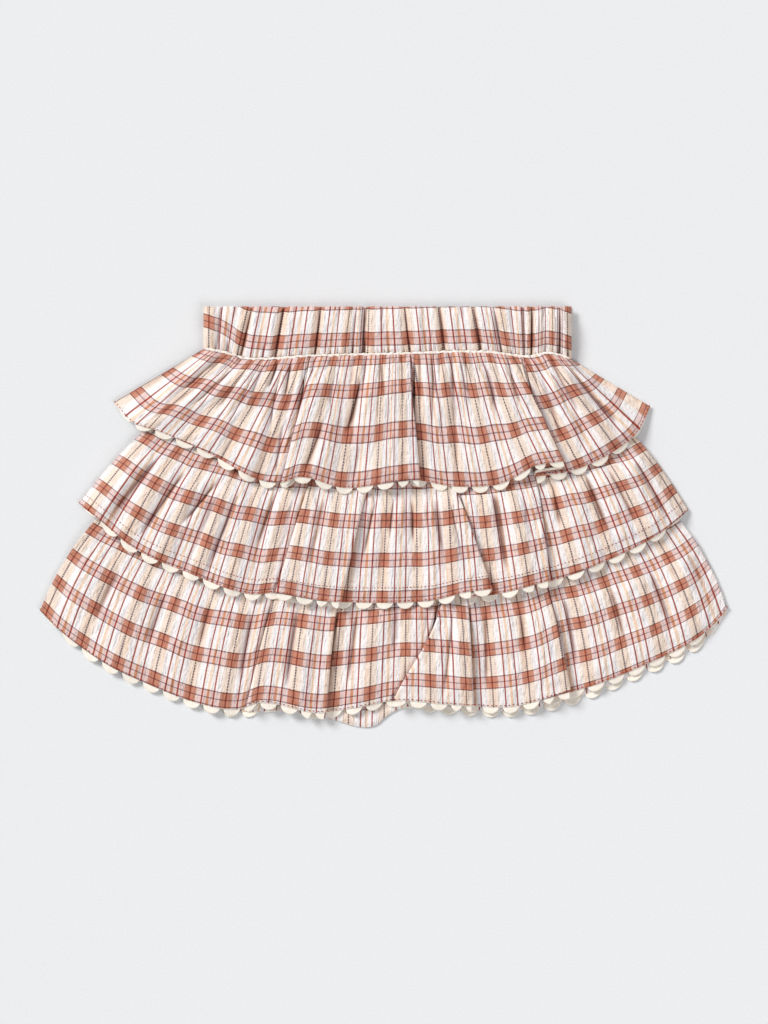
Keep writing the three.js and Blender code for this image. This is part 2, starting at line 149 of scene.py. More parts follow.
RUFFLE_3_BACK_HEM = [
    (-206.6, -56.8), (-195, -67.4), (-169, -86.4), (-137, -102.6), (-111, -112.6),
    (-88, -117.6), (-60, -117.4), (-34, -122), (-6, -126.4), (3, -119.4), (12, -115.2),
    (36, -115.4), (77, -117), (111, -110.4), (154, -93.6), (197, -70.4), (207.4, -56.8),
]
TURNED_UP = (-62, 6)  # stretch of the back hem whose tape is turned up inside
print("hems:", *(len(h) for h in (RUFFLE_1_HEM, RUFFLE_2_HEM, RUFFLE_3_HEM)), "points")

# %% Deep folds
# edge: where the folded edge meets the hem; seam: where its fall starts; apex: where the
# fall would meet the hem unfolded; side: which way the flap lies from its edge; depth: how
# much cloth is under it; start: share of the fall where it stands up; opens, full: where it
# starts to lie over and where all of it does; rise: its hem's lift in y.
Fold = namedtuple("Fold", "edge seam apex side depth start opens full rise")

RUFFLE_1_FOLDS = [
    Fold(-61.2, -44, -54, 1, 13, 0.12, 0.0, 0.55, 0),
    Fold(21.6, 17, 15, -1, 12, 0.12, 0.0, 0.6, 0),
    Fold(107.5, 82, 97, -1, 17, 0.2, 0.0, 0.5, 7),
]
RUFFLE_2_FOLDS = [
    Fold(-64.8, -30, -57, 1, 14, 0.55, 0.1, 0.5, 0),
    Fold(-25.8, 6, -32, -1, 10, 0.55, 0.1, 0.5, 0),
    Fold(64.8, 26, 56, -1, 15, 0.55, 0.15, 0.6, 4),
    Fold(99, 83, 94, -1, 8, 0.62, 0.15, 0.6, 1),
]
RUFFLE_3_FOLDS = [
    Fold(-82.2, -50, -75, 1, 12, 0.55, 0.12, 0.5, 0),
    Fold(-34.8, -17, -40, -1, 14, 0.55, 0.12, 0.5, 0),
    Fold(6, 43, 25, 1, 22, 0.55, 0.38, 1.0, 0),
    Fold(53.4, 46.5, 48, -1, 12, 0.55, 0.12, 0.5, 0),
    Fold(112, 82, 104, -1, 14, 0.55, 0.12, 0.5, 1),
]
print("deep folds:", len(RUFFLE_1_FOLDS), len(RUFFLE_2_FOLDS), len(RUFFLE_3_FOLDS))

# %% [markdown]
# ## Soft ridges and creases
#
# Between the deep folds the cloth rises and sinks. A crease is a soft ridge, or a trough
# where its height is negative, from one place on the fall to another. x is counted at the
# hem, so a crease that keeps its x runs along the fall. The uneven small gathers under a
# seam are many and alike, so a seeded generator places them.

# %% Creases: from x, share of the fall, to x, share; half width, height, lean
Crease = namedtuple("Crease", "x1 v1 x2 v2 width height lean")

RUFFLE_1_CREASES = [
    Crease(-148, 0.05, -150, 0.8, 4, 2.2, 0.3),
    Crease(-139, 0.0, -143, 0.55, 2.6, -2.2, 0),
    Crease(-128, 0.2, -140, 1.0, 5, 3.2, -0.5),
    Crease(-121, 0.05, -131, 0.7, 2.4, -2.2, 0),
    Crease(-116, 0.05, -120, 0.6, 3.5, 2.2, 0.3),
    Crease(-104, 0.1, -108, 1.1, 6, 2.2, 0.2),
    Crease(-98, 0.02, -97, 0.4, 2, -2.4, 0),
    Crease(-92, 0.05, -90, 0.5, 3, 2.0, -0.3),
    Crease(-86, 0.02, -86, 0.3, 1.6, -2.6, 0),
    Crease(-83, 0.35, -82, 1.2, 6, 3.0, 0.4),
    Crease(-80, 0.15, -76, 0.6, 2.2, -2.2, 0),
    Crease(-72, 0.02, -71, 0.35, 1.6, -2.6, 0),
    Crease(-68, 0.5, -66, 1.0, 2.4, -2.0, 0),
    Crease(-46, 0.1, -50, 0.8, 4, 1.8, 0.3),
    Crease(-36, 0.02, -38, 0.45, 2.0, -1.8, 0),
    Crease(-40, 0.5, -49, 1.0, 2.4, -2.6, -0.3),
    Crease(-33, 0.3, -38, 1.0, 5, 1.8, 0.2),
    Crease(-19, 0.14, -26, 0.62, 2.2, -4.0, -0.4),
    Crease(-13, 0.1, -18, 0.8, 5, 2.8, -0.5),
    Crease(-16, 0.6, -19, 1.0, 2.4, -1.8, 0),
    Crease(-5, 0.02, -2, 0.4, 2, -2.2, 0),
    Crease(3, 0.05, 6, 0.9, 5, 1.8, 0),
    Crease(28, 0.02, 35, 0.42, 2.2, -2.6, 0.3),
    Crease(36, 0.05, 40, 0.55, 4, 2.0, 0.2),
    Crease(44, 0.3, 44, 1.0, 2.2, -1.6, 0),
    Crease(50, 0.02, 54, 0.35, 1.8, -2.2, 0),
    Crease(58, 0.1, 60, 1.0, 7, 1.8, -0.3),
    Crease(68, 0.02, 73, 0.5, 2.0, -2.4, 0),
    Crease(80, 0.05, 82, 0.7, 4, 2.0, 0),
    Crease(87, 0.02, 90, 0.45, 1.8, -2.2, 0),
    Crease(112, 0.05, 113, 0.8, 2.6, -2.4, 0),
    Crease(120, 0.05, 122, 0.9, 4, 2.4, 0.3),
    Crease(129, 0.02, 131, 0.6, 2.4, -2.2, 0),
    Crease(137, 0.1, 137, 1.1, 5, 2.6, 0.2),
    Crease(145, 0.05, 148, 0.85, 2.4, -2.4, 0),
    Crease(151, 0.1, 154, 0.9, 4, 2.2, -0.3),
]
RUFFLE_2_CREASES = [
    Crease(-170, 0.45, -172, 1.1, 5, 2.2, 0.3),
    Crease(-163, 0.4, -168, 1.0, 2.4, -1.8, 0),
    Crease(-154, 0.42, -160, 1.1, 6, 2.6, -0.3),
    Crease(-143, 0.4, -150, 0.95, 2.6, -3.0, 0.2),
    Crease(-132, 0.42, -136, 1.1, 6, 2.6, 0.3),
    Crease(-118, 0.4, -132, 0.8, 2.6, -3.6, 0.3),
    Crease(-110, 0.42, -116, 1.1, 5, 2.8, -0.4),
    Crease(-104, 0.42, -108, 1.0, 2.6, -2.8, 0),
    Crease(-92, 0.45, -96, 1.2, 7, 2.4, 0.2),
    Crease(-80, 0.42, -84, 0.8, 2.4, -2.0, 0),
    Crease(-74, 0.42, -76, 0.95, 4, 1.8, 0),
    Crease(-50, 0.42, -49, 0.9, 2.2, -1.8, 0),
    Crease(-44, 0.42, -44, 1.1, 6, 1.6, 0.2),
    Crease(-19, 0.42, -18, 0.8, 2, -2.0, 0),
    Crease(-12, 0.42, -12, 0.95, 4, 1.8, 0),
    Crease(-2, 0.42, -1, 0.7, 2, -1.8, 0),
    Crease(5, 0.42, 3, 1.1, 7, 2.2, -0.3),
    Crease(15, 0.4, 17, 0.72, 2, -3.0, 0),
    Crease(28, 0.42, 28, 1.1, 6, 2.0, 0.2),
    Crease(38, 0.42, 38, 0.8, 2, -1.6, 0),
    Crease(45, 0.42, 44, 0.95, 4, 1.6, 0),
    Crease(74, 0.38, 75, 0.92, 2.2, -3.4, 0),
    Crease(83, 0.42, 82, 1.1, 5, 2.0, 0),
    Crease(108, 0.42, 109, 0.75, 2.2, -2.2, 0),
    Crease(120, 0.42, 123, 1.2, 7, 2.6, 0.2),
    Crease(133, 0.4, 138, 0.85, 2.4, -2.8, 0),
    Crease(143, 0.42, 146, 1.0, 5, 2.2, -0.2),
    Crease(150, 0.4, 156, 0.9, 2.2, -2.0, 0),
    Crease(160, 0.42, 163, 1.1, 5, 2.2, 0.2),
    Crease(171, 0.45, 172, 1.0, 2.4, -2.0, 0),
]
RUFFLE_3_CREASES = [
    Crease(-190, 0.45, -190, 1.1, 8, 1.6, 0.2),
    Crease(-178, 0.42, -180, 0.85, 2.6, -1.8, 0),
    Crease(-162, 0.45, -164, 1.2, 11, 2.2, 0),
    Crease(-146, 0.42, -148, 0.85, 2.6, -2.0, 0),
    Crease(-130, 0.42, -130, 1.1, 8, 1.8, 0.2),
    Crease(-118, 0.42, -118, 0.75, 2.4, -1.8, 0),
    Crease(-102, 0.42, -100, 1.2, 9, 2.4, 0.2),
    Crease(-90, 0.42, -89, 0.9, 2.4, -2.0, 0),
    Crease(-62, 0.4, -60, 0.95, 2.2, -3.0, 0),
    Crease(-54, 0.42, -53, 1.1, 5, 2.2, 0.3),
    Crease(-26, 0.42, -24, 0.9, 2.4, -2.4, 0),
    Crease(-14, 0.42, -14, 1.2, 8, 2.2, 0),
    Crease(-3, 0.42, 0, 0.75, 2.4, -1.8, 0),
    Crease(36, 0.45, 35, 1.0, 2.2, -1.8, 0),
    Crease(42, 0.42, 41, 1.1, 6, 1.8, 0.2),
    Crease(62, 0.42, 61, 0.95, 2.4, -2.2, 0),
    Crease(74, 0.42, 72, 1.2, 9, 2.2, 0.2),
    Crease(86, 0.42, 86, 0.75, 2.2, -1.8, 0),
    Crease(94, 0.42, 95, 0.95, 5, 1.8, 0),
    Crease(117, 0.42, 117, 0.9, 2.4, -2.2, 0),
    Crease(130, 0.42, 129, 1.2, 9, 2.0, -0.2),
    Crease(146, 0.42, 148, 0.85, 2.6, -2.0, 0),
    Crease(160, 0.45, 160, 1.1, 8, 1.8, 0.2),
    Crease(174, 0.42, 176, 0.9, 2.6, -2.0, 0),
    Crease(186, 0.5, 186, 1.1, 7, 2.4, 0),
]
print("creases:", len(RUFFLE_1_CREASES), len(RUFFLE_2_CREASES), len(RUFFLE_3_CREASES))

# %% [markdown]
# ## Where the check falls
#
# Within a stretch the warp lies on an even fan, and the edges of the slanted folds cut
# across it.

# %% The check's repeats, and its places on each ruffle
WARP_REPEAT = 23.0
WEFT_REPEAT = 24.0
STRIPE_STEP = 21.6  # how far apart the warp repeats lie at a hem, with its small waves

RUFFLE_1_STRIPES = [[-76.2], [-48, -26.4, -4.2, 10.8], [45.6, 66, 87], [117.6]]
RUFFLE_2_STRIPES = [[-112.8, -93.6], [-56.4, -36.6], [-1.2, 19.8, 41.4], [87], [115.2]]
RUFFLE_3_STRIPES = [[-96], [-55], [-9], [28], [66, 88], [124]]
RUFFLE_1_BANDS = [
    [(-8, 19, 49, 77), (1, 24, 54, 79)],
    [(3, 32, 59, 79), (5.5, 33.5, 63.5, 81)],
    [(3, 31.5, 60.5, 79), (4, 31.5, 60, 81)],
    [(1.5, 25, 50, 77), (3, 29, 53, 78)],
]
RUFFLE_2_BANDS = [
    [(0.5, 21, 45, 70), (2.5, 24, 47, 70)],
    [(4, 25.5, 48, 71), (3.4, 25, 48, 71)],
    [(2.8, 25, 49, 72), (3, 25.5, 49, 72)],
    [(3, 25, 45, 66), (3, 25, 45, 66)],
    [(2, 27.5, 50, 72), (-5, 22, 43, 64)],
]
RUFFLE_3_BANDS = [
    [(4, 27, 49, 71), (5, 28.5, 51, 73)],
    [(5.7, 29, 51, 73), (7, 30, 52, 74)],
    [(7, 31.5, 54.5, 77), (8, 32, 55, 77)],
    [(13, 34.5, 56, 78), (13.5, 34.5, 56, 78)],
    [(13.5, 32.5, 55, 77), (18, 39, 59.5, 79)],
    [(20, 41, 60, 80), (19, 39, 59, 80)],
]
print("the check repeats every", WARP_REPEAT, "mm across and", WEFT_REPEAT, "mm down")

# %% [markdown]
# ## Which layer lies on which
#
# The halves are piled on the table, thin cloth on thin cloth. A layer's level is the height
# of its underside, and it drops where the layer below has ended. A side edge that hangs
# over nothing rolls down to the cloth below it.

# %% Levels, down the fall and from the side edges
UNDER_COVER = 0.5  # share of the fall where the ruffle above ends
DROP = 0.12  # share of the fall over which a layer settles past it
FROM_BASE = 0.15  # share of ruffle 3's fall over which it comes down from the base's level


def ruffle_2_back_level(v):
    return mix(PLY, 0, smooth((v - UNDER_COVER) / DROP))


def ruffle_3_back_level(v):
    return PLY * (1 - smooth(v / FROM_BASE)) + ruffle_2_back_level(v)


def rolled(level, edge_level, distance, roll):
    """A side edge rolls down from its level to the edge's level."""
    return mix(edge_level, level, np.sin(math.pi / 2 * np.clip(distance / roll, 0, 1)))


def ruffle_1_level(v, distance):
    level = mix(RUFFLE_1_SEAM_LEVEL, RUFFLE_1_LEVEL, smooth(v / 0.3))
    return rolled(level, PLY, distance, 4 + 20 * smooth(v / 0.3))


def ruffle_2_level(v, distance):
    return rolled(RUFFLE_2_LEVEL, ruffle_2_back_level(v) + PLY, distance, 9)


def ruffle_3_level(v, distance):
    return ruffle_3_back_level(v) + PLY + 0 * distance


print("the top ruffle's underside lies", ruffle_1_level(1.0, 100.0), "mm up")

# %% Everything that makes one ruffle
BACK_PRESSED = 0.1  # share of a crease's height that the back keeps under the front's weight


def moved(points, shift):
    return [(x, y + shift) for x, y in points]


RUFFLES = {
    "ruffle_1_front": dict(
        seam=moved(WAIST_SEAM, -SEAM_GAP), hem=RUFFLE_1_HEM, folds=RUFFLE_1_FOLDS,
        creases=RUFFLE_1_CREASES, relief_from=-0.05, gathers=(0.0, 0.9), gather_height=4.0,
        bulge=0, level=ruffle_1_level, stripes=RUFFLE_1_STRIPES, bands=RUFFLE_1_BANDS,
        billow=3.0, cut=83, step=0.85, rows=72, seed=11,
    ),
    "ruffle_2_front": dict(
        seam=RUFFLE_2_SEAM, hem=RUFFLE_2_HEM, folds=RUFFLE_2_FOLDS,
        creases=RUFFLE_2_CREASES, relief_from=0.45, gathers=(0.38, 0.95), gather_height=2.6,
        bulge=5, level=ruffle_2_level, stripes=RUFFLE_2_STRIPES, bands=RUFFLE_2_BANDS,
        billow=2.9, cut=120, step=0.95, rows=84, seed=12,
    ),
    "ruffle_3_front": dict(
        seam=RUFFLE_3_SEAM, hem=RUFFLE_3_HEM, folds=RUFFLE_3_FOLDS,
        creases=RUFFLE_3_CREASES, relief_from=0.46, gathers=(0.38, 0.9), gather_height=2.2,
        bulge=8, level=ruffle_3_level, stripes=RUFFLE_3_STRIPES, bands=RUFFLE_3_BANDS,
        billow=2.6, cut=116, step=1.04, rows=84, seed=13,
    ),
}


def back_of(front, hem, level, seed):
    """The back half is pressed under its front: it has like creases, mirrored and shallow."""
    pressed = [
        crease._replace(x1=-crease.x1, x2=-crease.x2, height=BACK_PRESSED * crease.height)
        for crease in front["creases"]
    ]
    return {
        **front, "hem": hem, "folds": [], "creases": pressed, "gather_height": 0.25, "billow": 0,
        "seam": moved(front["seam"], SEAM_GAP - HIDDEN_SEAM_GAP), "level": level,
        "stripes": [[0.0]], "bands": front["bands"][3:4], "step": 1.8, "rows": 36, "seed": seed,
    }


RUFFLES["ruffle_1_back"] = back_of(
    RUFFLES["ruffle_1_front"], RUFFLE_1_HEM, lambda v, d: 0 * v * d, 21
)
RUFFLES["ruffle_2_back"] = back_of(
    RUFFLES["ruffle_2_front"], RUFFLE_2_HEM, lambda v, d: ruffle_2_back_level(v) + 0 * d, 22
)
RUFFLES["ruffle_3_back"] = back_of(
    RUFFLES["ruffle_3_front"], RUFFLE_3_BACK_HEM, lambda v, d: ruffle_3_back_level(v) + 0 * d, 23
)
print("ruffle halves:", len(RUFFLES))

# %% [markdown]
# ## Columns of thread
#
# A ruffle is cut into columns that run from the seam to the hem. Beside a deep fold they run
# under the flap, back over themselves, and out again on top, as three thicknesses of cloth.

# %% From tables to columns
ARC_STEPS = 8
RUN_STEP = 1.3
FAR = 300  # past the end of any hem


def fold_section(fold):
    """Section of an open fold at the hem: rows of x and z, from left to right on the cloth."""
    r = TURN_RADIUS
    half = FOLD_FOOT / 2
    apex = (fold.apex - fold.edge) * fold.side

    def run(start, end, z):
        t = np.linspace(0, 1, max(2, math.ceil(abs(end - start) / RUN_STEP)), endpoint=False)
        return np.column_stack([mix(start, end, t), np.full(len(t), z)])

    def turn(centre_x, centre_z, way):
        angle = np.linspace(0, math.pi, ARC_STEPS, endpoint=False)
        return np.column_stack([centre_x + way * r * np.sin(angle), centre_z - r * np.cos(angle)])

    section = np.vstack([
        run(apex - half, fold.depth - r, 0),
        turn(fold.depth - r, r, 1),
        run(fold.depth - r, r, 2 * r),
        turn(r, 3 * r, -1),
        run(r, apex + half, 4 * r),
        [[apex + half, 4 * r]],
    ])
    section[:, 0] = fold.edge + fold.side * section[:, 0]
    return section[::fold.side]


def columns_of(ruffle):
    """base, hem, own fold, share of each fold's height, and length along the cloth."""
    folds = ruffle["folds"]
    parts = []

    def add(base, hem, own, height, shares):
        parts.append(dict(base=base, hem=hem, own=own, height=height, shares=shares))

    def plain(start, end, left, right):
        count = max(2, round((end - start) / ruffle["step"]))
        x = np.linspace(start, end, count, endpoint=False)
        settle = min(FLAP_RUN, end - start)
        shares = np.zeros((len(folds), count))
        if left is not None and folds[left].side > 0:
            shares[left] = 1 - smooth((x - start) / settle)
        if right is not None and folds[right].side < 0:
            shares[right] = 1 - smooth((end - x) / settle)
        add(x, x, np.full(count, -1), np.zeros(count), shares)

    reached = ruffle["hem"][0][0]
    for k, fold in enumerate(folds):
        plain(reached, fold.apex - FOLD_FOOT / 2, k - 1 if k else None, k)
        section = fold_section(fold)
        steps = np.hypot(*np.diff(section, axis=0).T)
        t = np.concatenate([[0], np.cumsum(steps)]) / steps.sum()
        base = fold.apex + FOLD_FOOT * (t - 0.5)
        shares = np.zeros((len(folds), len(t) - 1))
        shares[k] = section[:-1, 1] / FOLD_HEIGHT
        add(base[:-1], section[:-1, 0], np.full(len(t) - 1, k), section[:-1, 1], shares)
        reached = fold.apex + FOLD_FOOT / 2
    right = ruffle["hem"][-1][0]
    plain(reached, right, len(folds) - 1 if folds else None, None)
    last = np.array([right])
    add(last, last, np.array([-1]), 0.0 * last, np.zeros((len(folds), 1)))

    columns = {key: np.concatenate([p[key] for p in parts], axis=-1) for key in parts[0]}
    rise = np.where(columns["own"][1:] >= 0, np.diff(columns["height"]), 0)
    lengths = np.hypot(np.diff(columns["hem"]), rise)
    columns["along"] = np.concatenate([[0], np.cumsum(lengths)])
    return columns


def folded_edge(columns, k):
    """Number of the column at the folded edge of deep fold k, where the flap turns."""
    mine = np.flatnonzero(columns["own"] == k)
    return mine[np.argmin(np.abs(columns["height"][mine] - 3 * TURN_RADIUS))]


def shown_ends(ruffle, columns):
    """Length along the cloth where each stretch that shows starts and ends."""
    along, hem, own = columns["along"], columns["hem"], columns["own"]
    ends = [0.0]
    for k, fold in enumerate(ruffle["folds"]):
        mine = np.flatnonzero(own == k)
        low = mine[columns["height"][mine] < 0.01]
        order = np.argsort(hem[low])
        bottom = np.interp(fold.edge, hem[low][order], along[low][order])
        edge = along[folded_edge(columns, k)]
        ends += [bottom, edge] if fold.side > 0 else [edge, bottom]
    return [*ends, along[-1]]


def warp_place(ruffle, columns, x, v):
    """Place on the warp repeat at each x and row, in millimetres of cloth.

    In a stretch that shows, the threads run on an even fan, and the folds cut across them.
    """
    along, hem = columns["along"], columns["hem"]
    ends = shown_ends(ruffle, columns)
    bulge = ruffle["bulge"] * np.sin(math.pi * v)
    left = mix(ruffle["seam"][0][0], ruffle["hem"][0][0], v) - bulge
    right = mix(ruffle["seam"][-1][0], ruffle["hem"][-1][0], v) + bulge
    on_hem = mix(ruffle["hem"][0][0], ruffle["hem"][-1][0], (x - left) / (right - left))
    stretch = WARP_REPEAT / STRIPE_STEP
    place = np.zeros(on_hem.shape)
    reached, last = 0, 0
    for k, row in enumerate(ruffle["stripes"]):
        top = np.flatnonzero((along >= ends[2 * k]) & (along <= ends[2 * k + 1]))
        least = reached + (row[0] - hem[top[0]]) * stretch
        marks = WARP_REPEAT * (math.ceil(least / WARP_REPEAT) + np.arange(len(row)))
        stops = [row[0] - FAR, *row, row[-1] + FAR]
        values = [marks[0] - FAR * stretch, *marks, marks[-1] + FAR * stretch]
        place[:, top] = np.interp(on_hem[:, top], stops, values)
        reached = np.interp(hem[top[-1]], stops, values)
        if k:
            under = np.arange(last + 1, top[0])
            t = (along[under] - along[last]) / (along[top[0]] - along[last])
            place[:, under] = mix(place[:, [last]], place[:, [top[0]]], t)
        last = top[-1]
    return place


def weft_place(ruffle, columns, height):
    """Place on the weft repeat at each height above the hem, in millimetres of cloth."""
    ends = shown_ends(ruffle, columns)
    rows = np.array([heights for pair in ruffle["bands"] for heights in pair], dtype=float)
    bands = [np.interp(columns["along"], ends, row) for row in rows.T]
    place = (height - bands[0]) * WEFT_REPEAT / (bands[1] - bands[0])
    for k, (low, high) in enumerate(zip(bands[1:], bands[2:]), start=1):
        place = np.where(height > low, (k + (height - low) / (high - low)) * WEFT_REPEAT, place)
    return place


# %% [markdown]
# ## The shape of a ruffle
#
# The shape is a sum of simple things on the fan: the layer's level, the folds' heights, the
# creases, and the small gathers. Near the side edges all of it eases to the edge's level.
# Each place also notes how far it is sunk between its neighbours, or close beside a folded
# edge, as a share of painted shade that darkens the cloth's colour there.

# %% A ruffle's relief
CREASE_END = 0.3  # share of a crease over which each of its ends tapers
GATHER_WIDTHS = (4, 11)
GATHERS = 120  # more than the widest hem takes
SHADE_FROM = 0.2  # how far cloth is sunk where its shade starts
SHADE_RUN = 1.3  # and how much further it sinks to the full shade
EDGE_SHADE = 4.5  # width of the shade beside a folded edge


def crease_height(crease, base, v, spread):
    """Height that a crease adds, on the grid of columns and rows."""
    reach = (v - crease.v1) / (crease.v2 - crease.v1)
    middle = mix(crease.x1, crease.x2, np.clip(reach, 0, 1))
    distance = (base - middle) * spread
    width = crease.width * np.where(distance < 0, 1 + crease.lean, 1 - crease.lean)
    near = np.clip(1 - np.abs(distance) / (2 * width), 0, 1)
    bell = near**2 if crease.height < 0 else smooth(near)
    taper = smooth(reach / CREASE_END) * smooth((1 - reach) / CREASE_END)
    return crease.height * bell * taper


def waver(x, seed, length):
    """An uneven soft wave of about that length, between -1 and 1."""
    rng = np.random.default_rng(seed)
    total = 0
    for _ in range(4):
        wave = length * rng.uniform(0.6, 1.8)
        total = total + np.sin(2 * math.pi * (x / wave + rng.random()))
    return total / 4


def humps(x, valleys):
    """Round puffs between sharp valleys: 0 in each valley and 1 between two of them."""
    k = np.clip(np.searchsorted(valleys, x) - 1, 0, len(valleys) - 2)
    t = np.clip((x - valleys[k]) / (valleys[k + 1] - valleys[k]), 0, 1)
    return np.sin(math.pi * t) ** 0.5, k


def small_gathers(ruffle, base, v):
    """Uneven gathers that start at the seam and run out down the fall."""
    rng = np.random.default_rng(ruffle["seed"])
    from_v, to_v = ruffle["gathers"]
    widths = rng.uniform(*GATHER_WIDTHS, GATHERS)
    valleys = ruffle["hem"][0][0] + np.concatenate([[0], np.cumsum(widths)])
    puff, k = humps(base, valleys)
    uneven = rng.uniform(0.35, 1.0, GATHERS) * widths / GATHER_WIDTHS[1]
    run = ((to_v - from_v) * rng.uniform(0.3, 1.0, GATHERS) ** 2.2)[k]
    return ruffle["gather_height"] * uneven[k] * puff * smooth((from_v + run - v) / run * 1.5)


def sunk(relief, reach):
    """How far each place lies below its neighbours on the row, from 0 to 1: painted shade."""
    around = sum(np.roll(relief, step, axis=1) for step in range(-reach, reach + 1))
    return np.clip((around / (2 * reach + 1) - relief - SHADE_FROM) / SHADE_RUN, 0, 1)


def beside_folds(folds, columns, x, v):
    """The same share for the cloth close beside a deep fold's edge, where little light falls."""
    total = 0 * x
    low = columns["height"] < 0.01
    for k, fold in enumerate(folds):
        beyond = (x[:, [folded_edge(columns, k)]] - x) * fold.side
        near = np.clip(1 - beyond / EDGE_SHADE, 0, 1) ** 1.5 * (beyond > -2) * low
        total = np.maximum(total, 0.6 * near * smooth((v - fold.opens - 0.05) / 0.2))
    return total


print("small gathers:", GATHER_WIDTHS[0], "to", GATHER_WIDTHS[1], "mm wide at the hem")

# %% A ruffle's middle surface and its place on the check
BUNCH = 1.3  # how far the gathers push the cloth sideways at the seam
BUNCH_LENGTH = 15
SIDE_PARTS = 12  # the bunching eases off over one such part of the width at each side
BILLOW_END = 1.04  # share of the fall where the puffed cloth has come down
BILLOW_RUN = 0.14
RELIEF_RUN = 0.12  # share of the fall over which the relief starts
FOLD_AT_SEAM = 0.65  # how far a deep fold lies over at the seam, as a share of the hem's
SIDE_RUN = 12  # distance from a side edge over which the relief rises
DEEPEST = -0.2  # the relief sinks no lower, or it would meet the layer below
TIP_LIFT = 0.3  # how much a raised hem's corner also lifts off the table
WEFT_WAVER = 0.8
WEFT_WAVER_LENGTH = 26


def own_fold(columns, folds, field, elsewhere):
    """A value of each column's own deep fold."""
    return np.array([getattr(fold, field) for fold in folds] + [elsewhere])[columns["own"]]


def spread_out(ruffle, columns, v):
    """x on the fan, x with its bunching, and y; the share across; the distance to a side."""
    base, folds, bulge = columns["base"], ruffle["folds"], ruffle["bulge"]
    hem_left, hem_right = ruffle["hem"][0][0], ruffle["hem"][-1][0]
    seam_left, seam_right = ruffle["seam"][0][0], ruffle["seam"][-1][0]
    stops = [hem_left, *[f.apex for f in folds], hem_right]
    seam_x = np.interp(base, stops, [seam_left, *[f.seam for f in folds], seam_right])
    opens = own_fold(columns, folds, "opens", 0.0)
    full = own_fold(columns, folds, "full", 1.0)
    lies_over = smooth((v - opens) / (full - opens)) * mix(FOLD_AT_SEAM, 1, v)
    hem_x = base + (columns["hem"] - base) * np.where(columns["own"] >= 0, lies_over, 0)
    across = (base - hem_left) / (hem_right - hem_left)
    from_side = np.minimum(across, 1 - across)

    fan_x = mix(seam_x, hem_x, v) + bulge * (2 * across - 1) * np.sin(math.pi * v)
    bunch = waver(base, ruffle["seed"] + 100, BUNCH_LENGTH) * BUNCH * (1 - v) ** 1.2
    x = fan_x + bunch * smooth(from_side * SIDE_PARTS)
    seam_y, hem_y = curve_through(ruffle["seam"]), curve_through(ruffle["hem"])
    y = mix(seam_y(seam_x), hem_y(hem_x), v)
    width = mix(seam_right - seam_left, hem_right - hem_left, v)
    return fan_x, x, y, from_side * width, width / (hem_right - hem_left)


def fold_lift(folds, columns, v):
    """Lift of the deep folds and their flaps, in z and, at a raised corner, in y."""
    lying, corner = 1, 0
    for share, fold in zip(columns["shares"], folds):
        standing = smooth((v - fold.start + 0.1) / 0.25)
        pressed = PRESSED_FLAT * smooth((v - fold.opens) / 0.1)
        lying = lying * (1 - share * np.maximum(standing, pressed))
        tip = fold.rise * np.clip((v - fold.start) / (1 - fold.start), 0, 1) ** 1.5
        corner = corner + np.stack([tip * share**1.8, TIP_LIFT * tip * share**3])
    in_y, in_z = corner if folds else (0, 0)
    return FOLD_HEIGHT * (1 - lying) + in_z, in_y


def lay(ruffle, columns, v):
    """Middle surface of a ruffle at each row and column; its place on the check, and its painted
    shade.
    """
    base, own, folds = columns["base"], columns["own"], ruffle["folds"]
    fan_x, x, y, from_side, spread = spread_out(ruffle, columns, v)
    height = ruffle["cut"] * (1 - v) + 0 * base

    lift = ruffle["billow"] * smooth((BILLOW_END - v) / BILLOW_RUN) + 0 * base
    lift = lift + sum(crease_height(c, base, v, spread) for c in ruffle["creases"])
    lift = lift + small_gathers(ruffle, base, v)
    lift = np.maximum(lift, DEEPEST) * smooth((v - ruffle["relief_from"]) / RELIEF_RUN)
    opens = own_fold(columns, folds, "opens", 0.0)
    # Painted shade: a share that darkens the cloth's colour where the relief sinks and beside
    # folded edges.
    painted_shade = sunk(lift, 5) * np.where(own >= 0, 1 - smooth((v - opens) / 0.1), 1)
    painted_shade = np.maximum(painted_shade, beside_folds(folds, columns, x, v))
    on_top = np.maximum(1 - smooth((v - opens) / 0.2), columns["height"] / FOLD_HEIGHT)
    lift = lift * np.where(own >= 0, on_top, 1)
    fold_z, fold_y = fold_lift(folds, columns, v)
    lift = lift + fold_z + HEM_TURN * (1 - smooth((height - HEM_DEPTH) / 1.5))
    z = ruffle["level"](v, from_side) + lift * smooth(from_side / SIDE_RUN) + WALL / 2

    warp = warp_place(ruffle, columns, fan_x, v)
    uneven = waver(base, ruffle["seed"] + 200, WEFT_WAVER_LENGTH) * WEFT_WAVER
    weft = weft_place(ruffle, columns, height) + uneven * smooth(height / 20)
    return np.stack([x, y + fold_y, z], axis=-1), np.stack([warp, weft, painted_shade], axis=-1)


print("a deep fold stands", round(FOLD_HEIGHT, 1), "mm high")

# %% [markdown]
# ## A thin shell of cloth
#
# Solidify would make the wall too, but its rim is square. Here the shell is one closed
# grid: over the top, round the hem, back under and round the seam, so the edges are round
# and the check carries on to the wrong side as it does in woven cloth.

# %% From a grid of middle points to a closed shell
PIECES = {}


def grid_normals(middle):
    down = np.gradient(middle, axis=0)
    along = np.gradient(middle, axis=1)
    normal = np.cross(down, along)
    return normal / np.maximum(np.linalg.norm(normal, axis=-1, keepdims=True), 1e-9)


def rolled_up(rows, count):
    """Corner numbers of a grid whose last row meets its first, and the faces between them."""
    corner = np.arange(rows * count).reshape(rows, count)
    a, b = corner[:, :-1], corner[:, 1:]
    c, d = np.roll(b, -1, axis=0), np.roll(a, -1, axis=0)
    return corner, np.stack([a, d, c, b], axis=-1).reshape(-1, 4).tolist()


